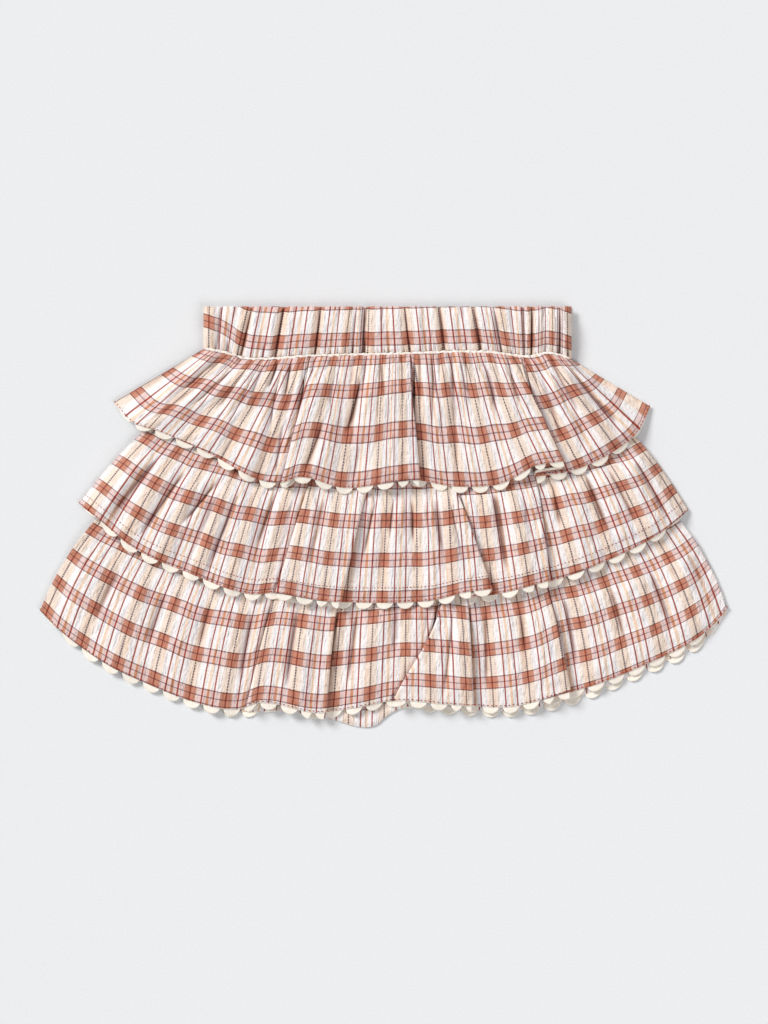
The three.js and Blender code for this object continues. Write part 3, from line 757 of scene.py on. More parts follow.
def mesh_from(name, points, faces, places, material):
    """A piece at the origin, from points and places on the check in millimetres."""
    mesh = bpy.data.meshes.new(name)
    mesh.from_pydata((points * MM).tolist(), [], faces)
    mesh.polygons.foreach_set("use_smooth", [True] * len(mesh.polygons))
    layer = mesh.uv_layers.new(name="cloth")
    corners = np.empty(len(mesh.loops), dtype=np.int32)
    mesh.loops.foreach_get("vertex_index", corners)
    layer.data.foreach_set("uv", places[corners, :2].astype(np.float32).ravel())
    # The third place, where there is one, is the share of painted shade.
    if places.shape[1] > 2:
        painted_shade = mesh.attributes.new("painted_shade", "FLOAT", "POINT")
        painted_shade.data.foreach_set("value", places[:, 2].astype(np.float32))
    mesh.materials.append(material)
    mesh.validate()
    piece = bpy.data.objects.new(name + ("_tape" if "trim" in name else "_cloth"), mesh)
    bpy.context.scene.collection.objects.link(piece)
    PIECES[name] = piece
    print(f"{name}: {len(mesh.vertices)} points, {len(mesh.polygons)} faces")
    return piece


def shell(name, middle, places, thickness, shift, material):
    """A closed shell. The rows of the grid run down the skirt, its columns to the right."""
    rows, count = middle.shape[:2]
    normal = grid_normals(middle)
    middle = middle + normal * shift
    half = thickness / 2
    out = middle[-1] - middle[-2]
    out = out / np.linalg.norm(out, axis=-1, keepdims=True) * half
    back = middle[0] - middle[1]
    back = back / np.linalg.norm(back, axis=-1, keepdims=True) * half
    loops = np.concatenate([
        middle + normal * half,
        [middle[-1] + out],
        (middle - normal * half)[::-1],
        [middle[0] + back],
    ])
    round_places = np.concatenate([places, places[-1:], places[::-1], places[:1]])
    corner, faces = rolled_up(len(loops), count)
    for column, way in ((0, 1), (count - 1, -1)):
        line = corner[:, column].tolist()
        for r in range(rows - 1):
            faces.append([line[r], line[-2 - r], line[-3 - r], line[r + 1]][::way])
        faces.append([line[rows - 1], line[rows + 1], line[rows]][::way])
        faces.append([line[0], line[-1], line[-2]][::way])
    flat_places = round_places.reshape(len(loops) * count, -1)
    return mesh_from(name, loops.reshape(-1, 3), faces, flat_places, material)


# %% [markdown]
# ## Colours and nodes
#
# Every colour is written as it looks on a screen, and one function turns it to the linear
# values that Blender works in. One more function adds a node with its settings and links,
# and a few short ones call it for the nodes that come back often.

# %% Helpers for materials


def linear(hex_colour):
    parts = [int(hex_colour[i : i + 2], 16) / 255 for i in (1, 3, 5)]
    return (*[p / 12.92 if p <= 0.04045 else ((p + 0.055) / 1.055) ** 2.4 for p in parts], 1)


def put(tree, kind, inputs=(), **settings):
    """Adds a node. inputs maps a socket's name or number to a value or to another socket."""
    node = tree.nodes.new(kind)
    for key, value in settings.items():
        setattr(node, key, value)
    for key, value in dict(inputs).items():
        if isinstance(value, bpy.types.NodeSocket):
            tree.links.new(value, node.inputs[key])
        else:
            node.inputs[key].default_value = value
    return node


def ramp(tree, factor, stops, length, interpolation="LINEAR"):
    """A colour ramp. stops are distances up to length, each with its colour."""
    node = put(tree, "ShaderNodeValToRGB", {"Fac": factor})
    node.color_ramp.interpolation = interpolation
    elements = node.color_ramp.elements
    while len(elements) < len(stops):
        elements.new(1.0)
    for element, (distance, colour) in zip(elements, stops):
        element.position = distance / length
        element.color = linear(colour) if isinstance(colour, str) else (colour,) * 3 + (1,)
    return node.outputs["Color"]


def maths(tree, operation, first, second=0.0):
    return put(tree, "ShaderNodeMath", {0: first, 1: second}, operation=operation).outputs[0]


def blend(tree, share, first, second, way="MIX"):
    """Mixes two colours, or multiplies the first by the second."""
    inputs = {0: share, 6: first, 7: second}
    return put(tree, "ShaderNodeMix", inputs, data_type="RGBA", blend_type=way).outputs[2]


def waves(tree, place, length):
    """A sine wave with that length along a place."""
    return maths(tree, "SINE", maths(tree, "MULTIPLY", place, 2 * math.pi / length))


def noise(tree, place, scale=1.0, detail=2.0, roughness=0.5):
    inputs = {"Vector": place, "Scale": scale, "Detail": detail, "Roughness": roughness}
    return put(tree, "ShaderNodeTexNoise", inputs).outputs["Fac"]


def stretched_noise(tree, place, scales, detail=2.0, roughness=0.5):
    """Noise with its own scale along each axis."""
    scaled = put(tree, "ShaderNodeVectorMath", {0: place, 1: scales}, operation="MULTIPLY")
    return noise(tree, scaled.outputs[0], 1.0, detail, roughness)


def bump(tree, height, strength, depth, under=None):
    """Small relief of that depth in metres, on top of another one."""
    inputs = {"Strength": strength, "Distance": depth, "Height": height}
    if under is not None:
        inputs["Normal"] = under
    return put(tree, "ShaderNodeBump", inputs).outputs[0]


def new_material(name, roughness, specular, sheen=0.0):
    """A matt material with its constant values on the shader's own sockets."""
    material = bpy.data.materials.new(name)
    material.use_nodes = True
    tree = material.node_tree
    shader = tree.nodes["Principled BSDF"]
    shader.inputs["Roughness"].default_value = roughness
    shader.inputs["Specular IOR Level"].default_value = specular
    shader.inputs["Sheen Weight"].default_value = sheen
    return material, tree, shader


print("white in linear values:", linear("#FFFFFF"))

# %% [markdown]
# ## Yarn-dyed cotton check
#
# Coloured yarns cross: where rust weft meets white warp the eye sees pink, and where it
# meets beige warp it sees rust. So there are two ramps over the distance from the middle
# of a beige stripe, one for white weft and one for rust weft, and the distance from the
# middle of a band chooses between them. Both distances come from the cloth's own UV map,
# which holds millimetres of cloth. The real threads are 0.25 mm apart, finer than the
# picture can show, so the weave is drawn at 0.8 mm. Deep in a pucker the real cloth meets
# itself and lies in shade, which the shell's rows are too coarse to show, so shade is
# painted into the colour there and beside the folded edges, from an attribute of the
# shell's own relief.

# %% The check
BAND_HALF = 4.6  # half height of a rust band
LINE_HALF = 0.38  # of the thin grey weft lines
LINE_SHARE = 0.85
BLUR = 0.1  # half width of the step at the edge of a band or a line
DASH = 1.7  # the dark and red warp lines show in dashes where white weft crosses them
DASH_LEVEL = 0.25
WEAVE = 0.8


def checked_cotton(name="yarn_dyed_cotton_check"):
    material, tree, shader = new_material(name, 0.88, 0.3, 0.12)
    shader.inputs["Sheen Roughness"].default_value = 0.45
    uv = put(tree, "ShaderNodeUVMap", uv_map="cloth").outputs["UV"]
    split = put(tree, "ShaderNodeSeparateXYZ", {0: uv})
    u, v = split.outputs["X"], split.outputs["Y"]
    from_stripe, from_band = [
        maths(tree, "DIVIDE", maths(tree, "PINGPONG", place, repeat / 2), repeat / 2)
        for place, repeat in ((u, WARP_REPEAT), (v, WEFT_REPEAT))
    ]

    def under_white_weft(dark, red):
        return ramp(tree, from_stripe, [
            (0, dark), (0.34, dark), (0.55, "#F7E4D3"), (3.5, "#F9EADD"),
            (4.1, "#FEFBFA"), (7.25, "#FBF9FB"), (7.4, red), (8.15, red),
            (8.3, "#FBF8FA"), (10.4, "#FEFBF9"), (10.9, "#F9E2CE"), (11.5, "#F5D9BF"),
        ], WARP_REPEAT / 2)

    dash = maths(tree, "GREATER_THAN", waves(tree, v, DASH), DASH_LEVEL)
    plain = blend(
        tree, dash, under_white_weft("#63555A", "#A04D3D"), under_white_weft("#CDBDB9", "#BC7466")
    )
    in_band = ramp(tree, from_stripe, [
        (0, "#974733"), (0.34, "#974733"), (0.5, "#C9866F"), (3.6, "#D0947E"),
        (4.0, "#EED5D0"), (7.25, "#ECD2CE"), (7.35, "#AC4C38"), (8.2, "#AC4C38"),
        (8.3, "#ECD2CE"), (10.5, "#EDD2CC"), (10.8, "#D79A79"), (11.5, "#D19070"),
    ], WARP_REPEAT / 2)
    band = ramp(tree, from_band, [
        (0, 1.0), (BAND_HALF - BLUR, 1.0), (BAND_HALF + BLUR, 0.0)
    ], WEFT_REPEAT / 2)
    edge = BAND_HALF - LINE_HALF
    lines = ramp(tree, from_band, [
        (0, 1.0), (LINE_HALF - BLUR, 1.0), (LINE_HALF + BLUR, 0.0),
        (edge - LINE_HALF - BLUR, 0.0), (edge - LINE_HALF + BLUR, 1.0),
        (edge + LINE_HALF - BLUR, 1.0), (edge + LINE_HALF + BLUR, 0.0),
    ], WEFT_REPEAT / 2)
    check = blend(tree, band, plain, in_band)
    grey = blend(tree, 1.0, check, linear("#9F99A8"), "MULTIPLY")
    check = blend(tree, maths(tree, "MULTIPLY", lines, LINE_SHARE), check, grey)

    streaks = stretched_noise(tree, uv, (0.8, 0.03, 1), 2.0, 0.6)
    streak_tint = ramp(tree, streaks, [
        (0.32, "#EAEBF2"), (0.45, "#FFFFFF"), (0.55, "#FFFFFF"), (0.68, "#FCEBDC")
    ], 1.0)
    slubs = stretched_noise(tree, uv, (0.05, 1.3, 1), 1.0)
    slub_tint = ramp(tree, slubs, [(0.3, "#F1ECEA"), (0.5, "#FFFFFF")], 1.0)
    # Painted shade: the colour is darkened where the shell's relief sinks and beside folded edges.
    painted_shade = put(tree, "ShaderNodeAttribute", attribute_name="painted_shade").outputs["Fac"]
    painted_shade_tint = ramp(tree, painted_shade, [(0, "#FFFFFF"), (0.35, "#DDD1CE"), (1, "#987A73")], 1.0)
    for share, tint in ((0.9, streak_tint), (0.6, slub_tint), (1.0, painted_shade_tint)):
        check = blend(tree, share, check, tint, "MULTIPLY")
    tree.links.new(check, shader.inputs["Base Color"])

    weave = maths(tree, "MULTIPLY", waves(tree, u, WEAVE), waves(tree, v, WEAVE))
    relief = bump(tree, weave, 0.25, 0.12 * MM)
    for scales, depth in (((0.9, 0.35, 1), 0.9 * MM), ((0.28, 0.09, 1), 3.0 * MM)):
        relief = bump(tree, stretched_noise(tree, uv, scales), 0.8, depth, relief)
    tree.links.new(relief, shader.inputs["Normal"])
    return material


CHECK = checked_cotton()
print("material:", CHECK.name)

# %% [markdown]
# ## Cream cotton tape
#
# The tape is a tight cotton braid, ecru and matt, a little warmer than the cloth. Fine
# ribs run across it, 0.9 mm apart.

# %% The tape and the thread
RIB = 0.9


def cotton_tape(name="ecru_cotton_braid"):
    material, tree, shader = new_material(name, 0.85, 0.3, 0.1)
    uv = put(tree, "ShaderNodeUVMap", uv_map="cloth").outputs["UV"]
    along = put(tree, "ShaderNodeSeparateXYZ", {0: uv}).outputs["X"]
    colour = ramp(tree, noise(tree, uv, 0.5), [(0.3, "#FCF3E2"), (0.6, "#FFFBF1")], 1.0)
    tree.links.new(colour, shader.inputs["Base Color"])
    ribs = bump(tree, waves(tree, along, RIB), 0.3, 0.12 * MM)
    tree.links.new(ribs, shader.inputs["Normal"])
    return material


def mottled(name, stops, scale, detail, roughness, specular):
    """A plain finish, mottled between two colours that are close to each other."""
    material, tree, shader = new_material(name, roughness, specular)
    place = put(tree, "ShaderNodeTexCoord").outputs["Object"]
    colour = ramp(tree, noise(tree, place, scale, detail), stops, 1.0)
    tree.links.new(colour, shader.inputs["Base Color"])
    return material


def cotton_thread(name, light, dark):
    return mottled(name, [(0.35, dark), (0.6, light)], 700.0, 1.0, 0.75, 0.35)


TAPE_COTTON = cotton_tape()
RUST_THREAD = cotton_thread("rust_cotton_thread", "#B4553C", "#8E3524")
WHITE_COTTON = cotton_thread("white_cotton_overlock", "#FEFAF4", "#F3E6DA")
print("materials:", TAPE_COTTON.name, RUST_THREAD.name, WHITE_COTTON.name)

# %% [markdown]
# ## The six ruffle halves
#
# Each is laid on its columns, from the seam to the hem, and gets its wall.

# %% Ruffles
def make_ruffle(name):
    ruffle = RUFFLES[name]
    columns = columns_of(ruffle)
    v = np.linspace(0, 1, ruffle["rows"])[:, None]
    middle, places = lay(ruffle, columns, v)
    shell(name, middle, places, CLOTH, CLOTH_SHIFT, CHECK)
    return columns, places


LAID = {}
for name in RUFFLES:
    LAID[name] = make_ruffle(name)
    print(name, "cloth along the hem:", round(float(LAID[name][0]["along"][-1])), "mm")

# %% [markdown]
# ## Scalloped tape
#
# The tape is sewn under each hem, so it starts a little inside it and only its lobes hang
# out. It follows the hem through every fold.

# %% Tape under the hems
PITCH = 12.3
LOBE = 4.1
CURL = 0.7  # how far the lobes' tips stand up
LOBE_HALF = 0.42  # half a lobe's width, as a share of the pitch
VALLEY = -0.7  # between two lobes the tape ends under the hem
SEWN_UNDER = 1.9  # width of tape hidden under the hem
TAPE_END = 26  # distance from a side edge over which the lobes grow to full size
LEAST_LOBE = 0.2
LOBE_SHARES = (0, 0.35, 0.7, 0.9, 1.0)  # rows of the tape, from its sewn edge to its tips
STATION = 0.45
LEAST_STATION = 0.12
ABOVE_TABLE = 0.02


def make_tape(name, ruffle_name, left=-math.inf, right=math.inf):
    ruffle = RUFFLES[ruffle_name]
    columns = columns_of(ruffle)
    hem, _ = lay(ruffle, columns, np.array([[0.97], [1.0]]))
    out = hem[1] - hem[0]
    out = out / np.linalg.norm(out, axis=-1, keepdims=True)
    normal = grid_normals(hem)[1]
    along = columns["along"]
    kept = (columns["hem"] >= left) & (columns["hem"] <= right)
    start, end = along[kept][0], along[kept][-1]
    lobes = round((end - start) / PITCH)
    pitch = (end - start) / lobes
    place = np.union1d(
        np.linspace(start, end, int((end - start) / STATION)), along[kept & (columns["own"] >= 0)]
    )
    place = place[np.concatenate([[True], np.diff(place) > LEAST_STATION])]

    def at(values):
        return np.stack([np.interp(place, along, values[:, i]) for i in range(3)], axis=-1)

    point, direction, up = at(hem[1]), at(out), at(normal)
    level = columns["height"] / TURN_RADIUS
    turning = np.abs(level / 2 - np.round(level / 2)) > 0.02
    hidden = (columns["own"] >= 0) & (turning | (np.abs(level - 2) < 1))
    from_middle = np.abs((place - start) / pitch % 1 - 0.5) / LOBE_HALF
    grown = smooth(np.minimum(place - start, end - place) / TAPE_END)
    lobe = np.sqrt(np.clip(1 - from_middle**2, 0, 1)) * mix(LEAST_LOBE, 1, grown)
    reach = mix(VALLEY, LOBE, lobe * (1 - np.interp(place, along, hidden)))
    distance = mix(-SEWN_UNDER, reach, np.array(LOBE_SHARES)[:, None])
    curl = CURL * np.clip(distance / LOBE, 0, 1)
    middle = point + direction * distance[..., None] + up * (TAPE_SHIFT + curl)[..., None]
    middle[..., 2] = np.maximum(middle[..., 2], TAPE / 2 + ABOVE_TABLE)
    places = np.stack([place + 0 * distance, distance], axis=-1)
    shell(name, middle, places, TAPE, 0, TAPE_COTTON)


for tier in (1, 2, 3):
    make_tape(f"trim_{tier}_front", f"ruffle_{tier}_front")
for tier in (1, 2):
    make_tape(f"trim_{tier}_back", f"ruffle_{tier}_back")
make_tape("trim_3_back_left", "ruffle_3_back", right=TURNED_UP[0])
make_tape("trim_3_back_right", "ruffle_3_back", left=TURNED_UP[1])

# %% [markdown]
# ## The hidden base
#
# Plain panels carry the lower ruffles. Nothing of them shows from above, so they stay flat.

# %% Base panels
BASE_BACK_LEVEL = 2 * PLY
BASE_FRONT_LEVEL = 3 * PLY
BASE_CUT = (270, 94)
BASE_HOLLOW = 15  # how far the sides curve in, clear of the ruffles' side edges


def narrowed(points, share, shift):
    line = curve_through(points)
    return [(x * share, float(line(x * share)) + shift) for x, _ in points]


def make_base(name, level):
    seam = narrowed(WAIST_SEAM, 0.96, -HIDDEN_SEAM_GAP)
    hem = narrowed(RUFFLE_3_SEAM, 0.98, HIDDEN_SEAM_GAP)
    across = np.linspace(0, 1, 120)
    v = np.linspace(0, 1, 24)[:, None]
    x_seam, x_hem = mix(seam[0][0], seam[-1][0], across), mix(hem[0][0], hem[-1][0], across)
    x = mix(x_seam, x_hem, v) - BASE_HOLLOW * (2 * across - 1) * np.sin(math.pi * v)
    y = mix(curve_through(seam)(x_seam), curve_through(hem)(x_hem), v)
    z = level + WALL / 2 + 0 * x
    middle = np.stack([x, y, z], axis=-1)
    places = np.stack([x, y], axis=-1)
    shell(name, middle, places, CLOTH, CLOTH_SHIFT, CHECK)


make_base("base_back", BASE_BACK_LEVEL)
make_base("base_front", BASE_FRONT_LEVEL)

# %% [markdown]
# ## The waistband
#
# A strip is folded over elastic and drawn up. The casing is a flat tube: round along both
# edges, crossed by uneven creases where the elastic pulls it together, with small sunk
# wedges between them along the seam and the top. The creases lean the way the threads do,
# so both come from the same slanted columns.

# %% Waistband sizes
BAND_LEFT = -108.6
BAND_RIGHT = 112.8
BAND_TOP = 126.3
FRONT_BOTTOM = 3.5  # the front half's underside lies this far above the table
BACK_PUFF = 2.95  # height of the puffs between two creases, above each half's underside
FRONT_PUFF = 5.5
BAND_CUT = (290, 31)
BAND_REPEAT = 22  # height of the check's weft repeat on the gathered casing
BAND_END = 3  # distance over which the casing's ends close
BAND_ROWS = 44  # on each of the two sides
LEAST_PUFF = 0.9
FINE_PUCKER = 0.35
FINE_PUCKER_LENGTH = 7
TOP_DIP = 0.4  # how far the top edge dips for each millimetre that a crease is deep
BAND_MIDDLE = 1.1  # height of the folded edges' middle above the underside

# Where the middles of the beige stripes cross the middle of the band, and how far each
# thread's top lies to the right of its foot.
BAND_STRIPES = [-105, -85, -62.4, -40, -22, -9.5, 13.8, 34, 55, 72, 88.6, 101, 110]
BAND_LEAN = [
    (-108.6, 0), (-103, 0.5), (-84, 7), (-62, 5.2), (-40, 3.6), (-21, 3.2), (-8, 0.6),
    (13.8, -3), (34, -3), (55, -4.6), (72, -5), (88, 0.4), (101, 0), (112.8, 0),
]
# Height of the rust band's middle above the waist seam, from x to x.
BAND_RISE = [(-108.6, 17), (-96, 14.5), (-84, 10.5), (-66, 9.2), (-40, 9), (112.8, 9)]

# Where the elastic draws the casing in, at the middle of the band, and how deep
FRONT_VALLEYS = [
    (-108.6, 0), (-99, 2.0), (-91, 0.9), (-82.8, 4.2), (-74, 1.2), (-63, 4.2), (-52, 0.9),
    (-39.6, 4.2), (-29, 1.0), (-18, 2.4), (-12.4, 4.4), (2, 1.2), (14, 3.4), (25, 1.0),
    (35, 4.0), (46, 1.0), (56, 4.0), (68.4, 3.8), (77, 1.0), (84, 2.6), (88.6, 4.4), (97, 1.0),
    (105.6, 4.0), (112.8, 0),
]
BACK_VALLEYS = [(x, 0.8) for x in range(-109, 120, 12)]
Wedges = namedtuple("Wedges", "from_seam widest deepest")
EDGE_WEDGES = [Wedges(True, 6.5, 3.0), Wedges(False, 10, 2.0)]
WEDGES_EACH = 100  # more than the casing takes


def edge_puckers(x0, share, seed):
    """Small sunk wedges that run in from the seam and from the folded top."""
    rng = np.random.default_rng(seed + 5)
    total = 0 * x0 * share
    for wedges in EDGE_WEDGES:
        widths = rng.uniform(wedges.widest / 3, wedges.widest, WEDGES_EACH)
        valleys = BAND_LEFT - 2 + np.concatenate([[0], np.cumsum(widths)])
        puff, _ = humps(x0, valleys)
        reach = np.interp(x0, valleys, rng.uniform(0.14, 0.5, WEDGES_EACH + 1))
        depth = np.interp(x0, valleys, wedges.deepest * rng.uniform(0.3, 1, WEDGES_EACH + 1))
        from_edge = 1 - share if wedges.from_seam else share
        total = total - depth * (1 - puff) * smooth((reach - from_edge) / reach)
    return total


def casing(bottom, puff_height, valleys, count, seed):
    """Upper and under side of a half, from its folded top to the seam; places on the check."""
    x0 = np.linspace(BAND_LEFT, BAND_RIGHT, count)
    side = smooth(np.minimum(x0 - BAND_LEFT, BAND_RIGHT - x0) / BAND_END)
    share = ((1 - np.cos(np.linspace(0, math.pi, BAND_ROWS))) / 2)[:, None]
    x = x0 + np.interp(x0, *np.array(BAND_LEAN).T) * (0.5 - share)
    seam = curve_through(WAIST_SEAM)(x) + SEAM_GAP

    valley_x, valley_depth = np.array(valleys, dtype=float).T
    puff, _ = humps(x0, valley_x)
    fine = FINE_PUCKER * waver(x0, seed, FINE_PUCKER_LENGTH)
    pucker = fine - (1 - puff) * np.interp(x0, valley_x, valley_depth)
    y = mix(BAND_TOP - 0.2 + TOP_DIP * np.clip(pucker, -3, 0.8), seam, share)
    crown = (1 - np.abs(2 * share - 1) ** 3.2) ** 0.5 * side
    depth = 0.65 + 0.35 * np.sin(math.pi * share) + 0.5 * smooth((share - 0.55) / 0.4)
    relief = pucker * depth + edge_puckers(x0, share, seed)
    height = np.maximum(mix(BAND_MIDDLE, puff_height, crown) + relief * crown, LEAST_PUFF)
    under = BAND_MIDDLE * (1 - (1 - np.abs(2 * share - 1) ** 6) ** 0.5 * side) + 0 * x
    under = np.minimum(under, height - ABOVE_TABLE)

    stripes = [BAND_STRIPES[0] - STRIPE_STEP, *BAND_STRIPES, BAND_STRIPES[-1] + STRIPE_STEP]
    warp = np.interp(x0, stripes, WARP_REPEAT * np.arange(len(stripes)))
    rise = np.interp(x0, *np.array(BAND_RISE).T)
    weft = (y - seam - rise) * WEFT_REPEAT / BAND_REPEAT + 0.3 * pucker
    # The third place is painted shade, darker where the casing's relief sinks.
    places = np.stack([warp + 0 * share, weft, sunk(relief, 8)], axis=-1)
    sides = [np.stack([x, y, bottom + z], axis=-1) for z in (height, under)]
    return *sides, places


def make_waistband(name, bottom, puff_height, valleys, count, seed):
    upper, lower, places = casing(bottom, puff_height, valleys, count, seed)
    rows = len(upper)
    loops = np.concatenate([upper, lower[-2:0:-1]])
    round_places = np.concatenate([places, places[-2:0:-1]])
    corner, faces = rolled_up(len(loops), count)
    for column, way in ((0, 1), (count - 1, -1)):
        ring = corner[:, column].tolist()
        faces.append([ring[0], ring[-1], ring[1]][::way])
        for r in range(1, rows - 2):
            faces.append([ring[r], ring[-r], ring[-r - 1], ring[r + 1]][::way])
        faces.append([ring[rows - 2], ring[rows], ring[rows - 1]][::way])
    flat_places = round_places.reshape(len(loops) * count, -1)
    mesh_from(name, loops.reshape(-1, 3), faces, flat_places, CHECK)


make_waistband("waistband_back", 0.0, BACK_PUFF, BACK_VALLEYS, 320, 31)
make_waistband("waistband_front", FRONT_BOTTOM, FRONT_PUFF, FRONT_VALLEYS, 640, 32)

# %% [markdown]
# ## The ridge of the waist seam
#
# The overlocked edges of the top ruffle and the casing make a thin white ridge between
# them. It is a fine tube along the seam, uneven as the gathers push it up and down.

# %% Waist seam ridge
RIDGE_RADIUS = 1.0
RIDGE_LEVEL = 7.0
RIDGE_SIDES = 8
RIDGE_INSET = 0.8  # from the casing's ends
RIDGE_LENGTH = 221


def make_ridge(name):
    x = np.linspace(BAND_LEFT + RIDGE_INSET, BAND_RIGHT - RIDGE_INSET, 560)
    y = curve_through(WAIST_SEAM)(x) + 0.1 + 0.3 * waver(x, 41, 4.5)
    z = RIDGE_LEVEL + 0.6 * waver(x, 42, 5)
    from_middle = np.abs(2 * x - BAND_LEFT - BAND_RIGHT) / RIDGE_LENGTH
    radius = RIDGE_RADIUS * (1 + 0.3 * waver(x, 43, 3)) * smooth((1 - from_middle) * 40)
    angle = np.linspace(0, 2 * math.pi, RIDGE_SIDES, endpoint=False)[:, None]
    rings = np.stack([
        x + 0 * angle, y + radius * np.cos(angle), z + radius * np.sin(angle)
    ], axis=-1)
    corner, faces = rolled_up(RIDGE_SIDES, len(x))
    faces = [[a, b, c, d] for a, d, c, b in faces]
    faces += [corner[:, 0].tolist(), corner[::-1, -1].tolist()]
    places = np.stack([x + 0 * angle, radius * angle], axis=-1).reshape(-1, 2)
    mesh_from(name, rings.reshape(-1, 3), faces, places, WHITE_COTTON)
    return PIECES.pop(name)


EXTRAS = {"waist_seam_ridge": make_ridge("waist_seam_ridge")}

# %% [markdown]
# ## Hem stitches
#
# Rust thread holds each turned hem and its tape, and the middle tier has a second row
# higher up. The stitches are all alike and there are hundreds of them, so Geometry Nodes
# sets them along a path at an even pitch, and the result is kept as a plain mesh. Each is
# a slim bead, a little longer or shorter than the next.

# %% A tree that sets stitches along a path
BEAD_SIDES = 6
BEAD_RINGS = 4


def stitch_tree():
    tree = bpy.data.node_groups.new("stitches_along_a_path", "GeometryNodeTree")
    face = tree.interface
    face.new_socket("Path", in_out="INPUT", socket_type="NodeSocketGeometry")
    for label in ("Pitch", "Length", "Radius"):
        face.new_socket(label, in_out="INPUT", socket_type="NodeSocketFloat")
    face.new_socket("Thread", in_out="INPUT", socket_type="NodeSocketMaterial")
    face.new_socket("Stitches", in_out="OUTPUT", socket_type="NodeSocketGeometry")
    given = tree.nodes.new("NodeGroupInput").outputs
    path = put(tree, "GeometryNodeMeshToCurve", {"Mesh": given["Path"]})
    points = put(
        tree, "GeometryNodeCurveToPoints",
        {"Curve": path.outputs["Curve"], "Length": given["Pitch"]}, mode="LENGTH",
    )
    turned = put(
        tree, "FunctionNodeAlignRotationToVector", {"Vector": points.outputs["Tangent"]}, axis="X"
    )
    varied = put(
        tree, "FunctionNodeRandomValue", {2: 0.42, 3: 0.56, "Seed": 3}, data_type="FLOAT"
    )
    half_length = maths(tree, "MULTIPLY", given["Length"], varied.outputs[1])
    size = put(
        tree, "ShaderNodeCombineXYZ", {0: half_length, 1: given["Radius"], 2: given["Radius"]}
    )
    bead = put(
        tree, "GeometryNodeMeshUVSphere",
        {"Segments": BEAD_SIDES, "Rings": BEAD_RINGS, "Radius": 1.0},
    )
    stitches = put(tree, "GeometryNodeInstanceOnPoints", {
        "Points": points.outputs["Points"], "Instance": bead.outputs["Mesh"],
        "Rotation": turned.outputs["Rotation"], "Scale": size.outputs["Vector"],
    })
    real = put(
        tree, "GeometryNodeRealizeInstances", {"Geometry": stitches.outputs["Instances"]}
    )
    sewn = put(
        tree, "GeometryNodeSetMaterial",
        {"Geometry": real.outputs["Geometry"], "Material": given["Thread"]},
    )
    put(tree, "NodeGroupOutput", {"Stitches": sewn.outputs["Geometry"]})
    return tree


STITCH_TREE = stitch_tree()
print("nodes in the stitch tree:", len(STITCH_TREE.nodes))


def sew(name, path, row):
    """Stitches along a path, as one plain mesh."""
    host_mesh = bpy.data.meshes.new(name + "_path")
    edges = [(i, i + 1) for i in range(len(path) - 1)]
    host_mesh.from_pydata((path * MM).tolist(), edges, [])
    host = bpy.data.objects.new(name + "_path", host_mesh)
    bpy.context.scene.collection.objects.link(host)
    modifier = host.modifiers.new("stitches", "NODES")
    modifier.node_group = STITCH_TREE
    given = {s.name: s.identifier for s in STITCH_TREE.interface.items_tree if s.in_out == "INPUT"}
    modifier[given["Pitch"]] = row.pitch * MM
    modifier[given["Length"]] = row.length * MM
    modifier[given["Radius"]] = row.radius * MM
    modifier[given["Thread"]] = RUST_THREAD
    graph = bpy.context.evaluated_depsgraph_get()
    mesh = bpy.data.meshes.new_from_object(host.evaluated_get(graph), depsgraph=graph)
    mesh.polygons.foreach_set("use_smooth", [True] * len(mesh.polygons))
    host.modifiers.remove(modifier)
    bpy.data.objects.remove(host)
    piece = bpy.data.objects.new(name, mesh)
    bpy.context.scene.collection.objects.link(piece)
    EXTRAS[name] = piece
    print(f"{name}: {len(mesh.polygons)} faces")


# %% Stitches on the three hems
Row = namedtuple("Row", "height pitch length radius")  # height above the hem
HEM_ROW = Row(0.9, 2.6, 1.6, 0.28)
TURN_ROW = Row(8.8, 2.2, 1.4, 0.25)
PROUD = 0.05  # how far the thread's middle lies above the cloth
ROW_STEP = 0.005  # share of the fall from a row to those that give its slope


def row_above_hem(name, height):
    ruffle = RUFFLES[name]
    columns = LAID[name][0]
    v = 1 - height / ruffle["cut"]
    middle, _ = lay(ruffle, columns, np.array([[v - ROW_STEP], [v], [v + ROW_STEP]]))
    up = grid_normals(middle)[1]
    return middle[1] + up * (CLOTH_SHIFT + CLOTH / 2 + PROUD)


for tier in (1, 2, 3):
    path = row_above_hem(f"ruffle_{tier}_front", HEM_ROW.height)
    sew(f"hem_stitches_{tier}", path, HEM_ROW)
sew("turn_stitches_2", row_above_hem("ruffle_2_front", TURN_ROW.height), TURN_ROW)

# %% [markdown]
# ## Riding on the frame
#
# Each piece stands for its solid, and the size that it was cut to is printed. A ruffle is
# cut along the weft, so its width is what its hem runs over on the warp's repeats. The
# waistband's and the base's cuts are guessed from their gathers.

# %% Bodies and flat sizes
UNDER = {
    "ruffle_1_front": ["ruffle_2_front"], "ruffle_2_front": ["base_front", "ruffle_3_front"],
    "ruffle_3_front": ["ruffle_3_back"], "ruffle_1_back": ["floor"],
    "ruffle_2_back": ["ruffle_1_back", "floor"], "ruffle_3_back": ["ruffle_2_back", "floor"],
}
for name, piece in PIECES.items():
    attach(piece, "root")
    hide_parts(name)

for piece in EXTRAS.values():
    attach(piece, "root")


def declare(name, width, length, held, under, with_pieces=()):
    print(name, "was cut", round(width), "x", round(length), "mm")


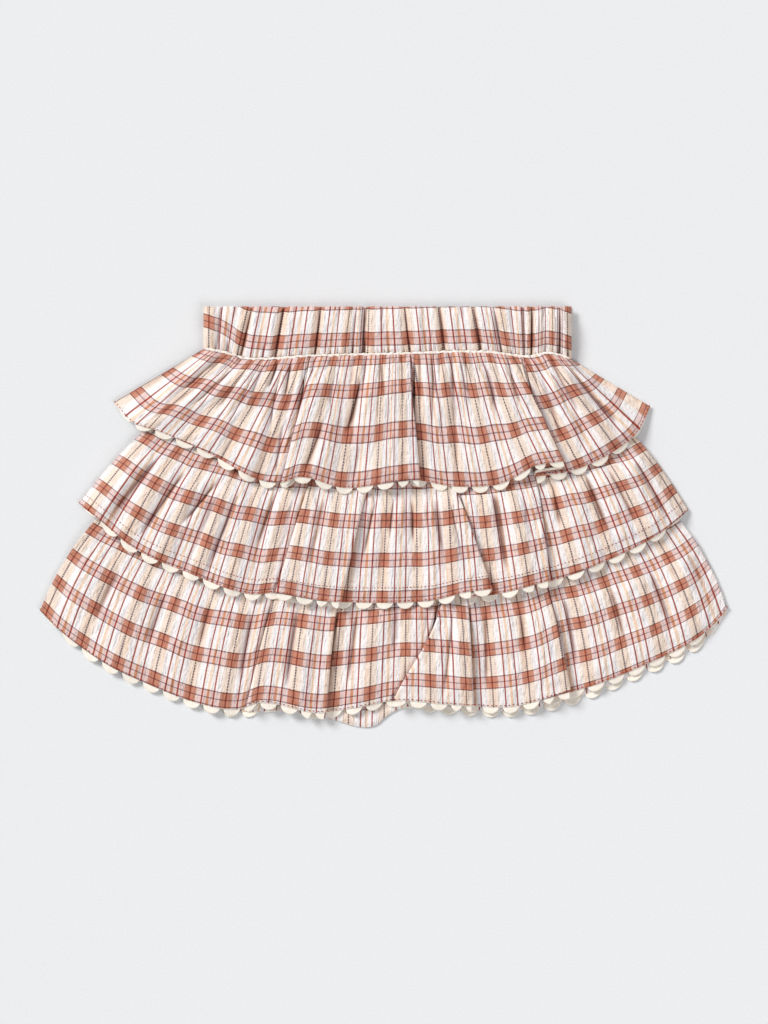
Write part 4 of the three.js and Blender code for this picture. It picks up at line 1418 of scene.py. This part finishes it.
for name, under in UNDER.items():
    width = float(np.ptp(LAID[name][1][-1, :, 0]))
    on_it = [PIECES[n] for n in PIECES if n.startswith(name.replace("ruffle", "trim"))]
    tier = name.split("_")[1]
    if name.endswith("front"):
        on_it += [piece for key, piece in EXTRAS.items() if key.endswith(tier)]
    declare(name, width, RUFFLES[name]["cut"], "gathered", under, on_it)
declare("base_front", *BASE_CUT, "laid", ["base_back"])
declare("base_back", *BASE_CUT, "laid", ["ruffle_2_back"])
ridge = EXTRAS["waist_seam_ridge"]
declare("waistband_front", *BAND_CUT, "gathered", ["waistband_back"], [ridge])
declare("waistband_back", *BAND_CUT, "gathered", ["floor"])

# %% [markdown]
# ## Floor, light and camera
#
# A pale sheet of card lies under the skirt. The light is soft and comes from the upper
# left, as a large window would give it, and the rest of the room is pale too. The camera
# hangs straight above: one pixel of the picture is 0.6 mm at the table.

# %% Floor
FLOOR_SIDE = 6  # metres


def matt_card(name="matt_white_card"):
    return mottled(name, [(0.3, "#E8ECEF"), (0.7, "#EDF1F4")], 900.0, 2.0, 0.9, 0.2)


bpy.ops.mesh.primitive_plane_add(size=FLOOR_SIDE, location=(0, 0, 0))
floor = bpy.context.object
floor.name = "floor"
floor.data.materials.append(matt_card())
print("floor:", floor.data.materials[0].name)

# %% Light
ROOM_STRENGTH = 0.37
Softbox = namedtuple("Softbox", "name place size watts colour")  # place and size in metres
SOFTBOXES = [
    Softbox("window", (-9.3, 7.5, 8.7), 5.0, 1850, "#FFFDFB"),
    Softbox("fill", (2.4, -2.2, 3.2), 2.6, 62, "#FFFCFB"),
]

world = bpy.data.worlds.new("pale_room")
world.use_nodes = True
background = world.node_tree.nodes["Background"]
background.inputs["Color"].default_value = linear("#F7F2F2")
background.inputs["Strength"].default_value = ROOM_STRENGTH
bpy.context.scene.world = world

for softbox in SOFTBOXES:
    data = bpy.data.lights.new(softbox.name, "AREA")
    data.shape = "SQUARE"
    data.size = softbox.size
    data.energy = softbox.watts
    data.color = linear(softbox.colour)[:3]
    light = bpy.data.objects.new(softbox.name, data)
    light.location = softbox.place
    light.rotation_mode = "QUATERNION"
    light.rotation_quaternion = (-light.location).to_track_quat("-Z", "Y")
    bpy.context.scene.collection.objects.link(light)
    print(f"{softbox.name}: {softbox.watts} W")

# %% Camera
PICTURE_LONG_SIDE = 1024
PIXEL = 0.6  # millimetres on the table
PICTURE_MIDDLE = 2.4  # its y on the table
LENS = 85
SENSOR = 36
LEVEL_SEEN = 8  # the middle of the front's height, where the scale holds
distance = PICTURE_LONG_SIDE * PIXEL * LENS / SENSOR + LEVEL_SEEN
camera_data = bpy.data.cameras.new("camera")
camera_data.lens = LENS
camera_data.sensor_width = SENSOR
camera = bpy.data.objects.new("camera", camera_data)
camera.location = (0, PICTURE_MIDDLE * MM, distance * MM)
bpy.context.scene.collection.objects.link(camera)
bpy.context.scene.camera = camera
bpy.context.scene.view_settings.view_transform = "Standard"
print("camera", round(distance), "mm up")
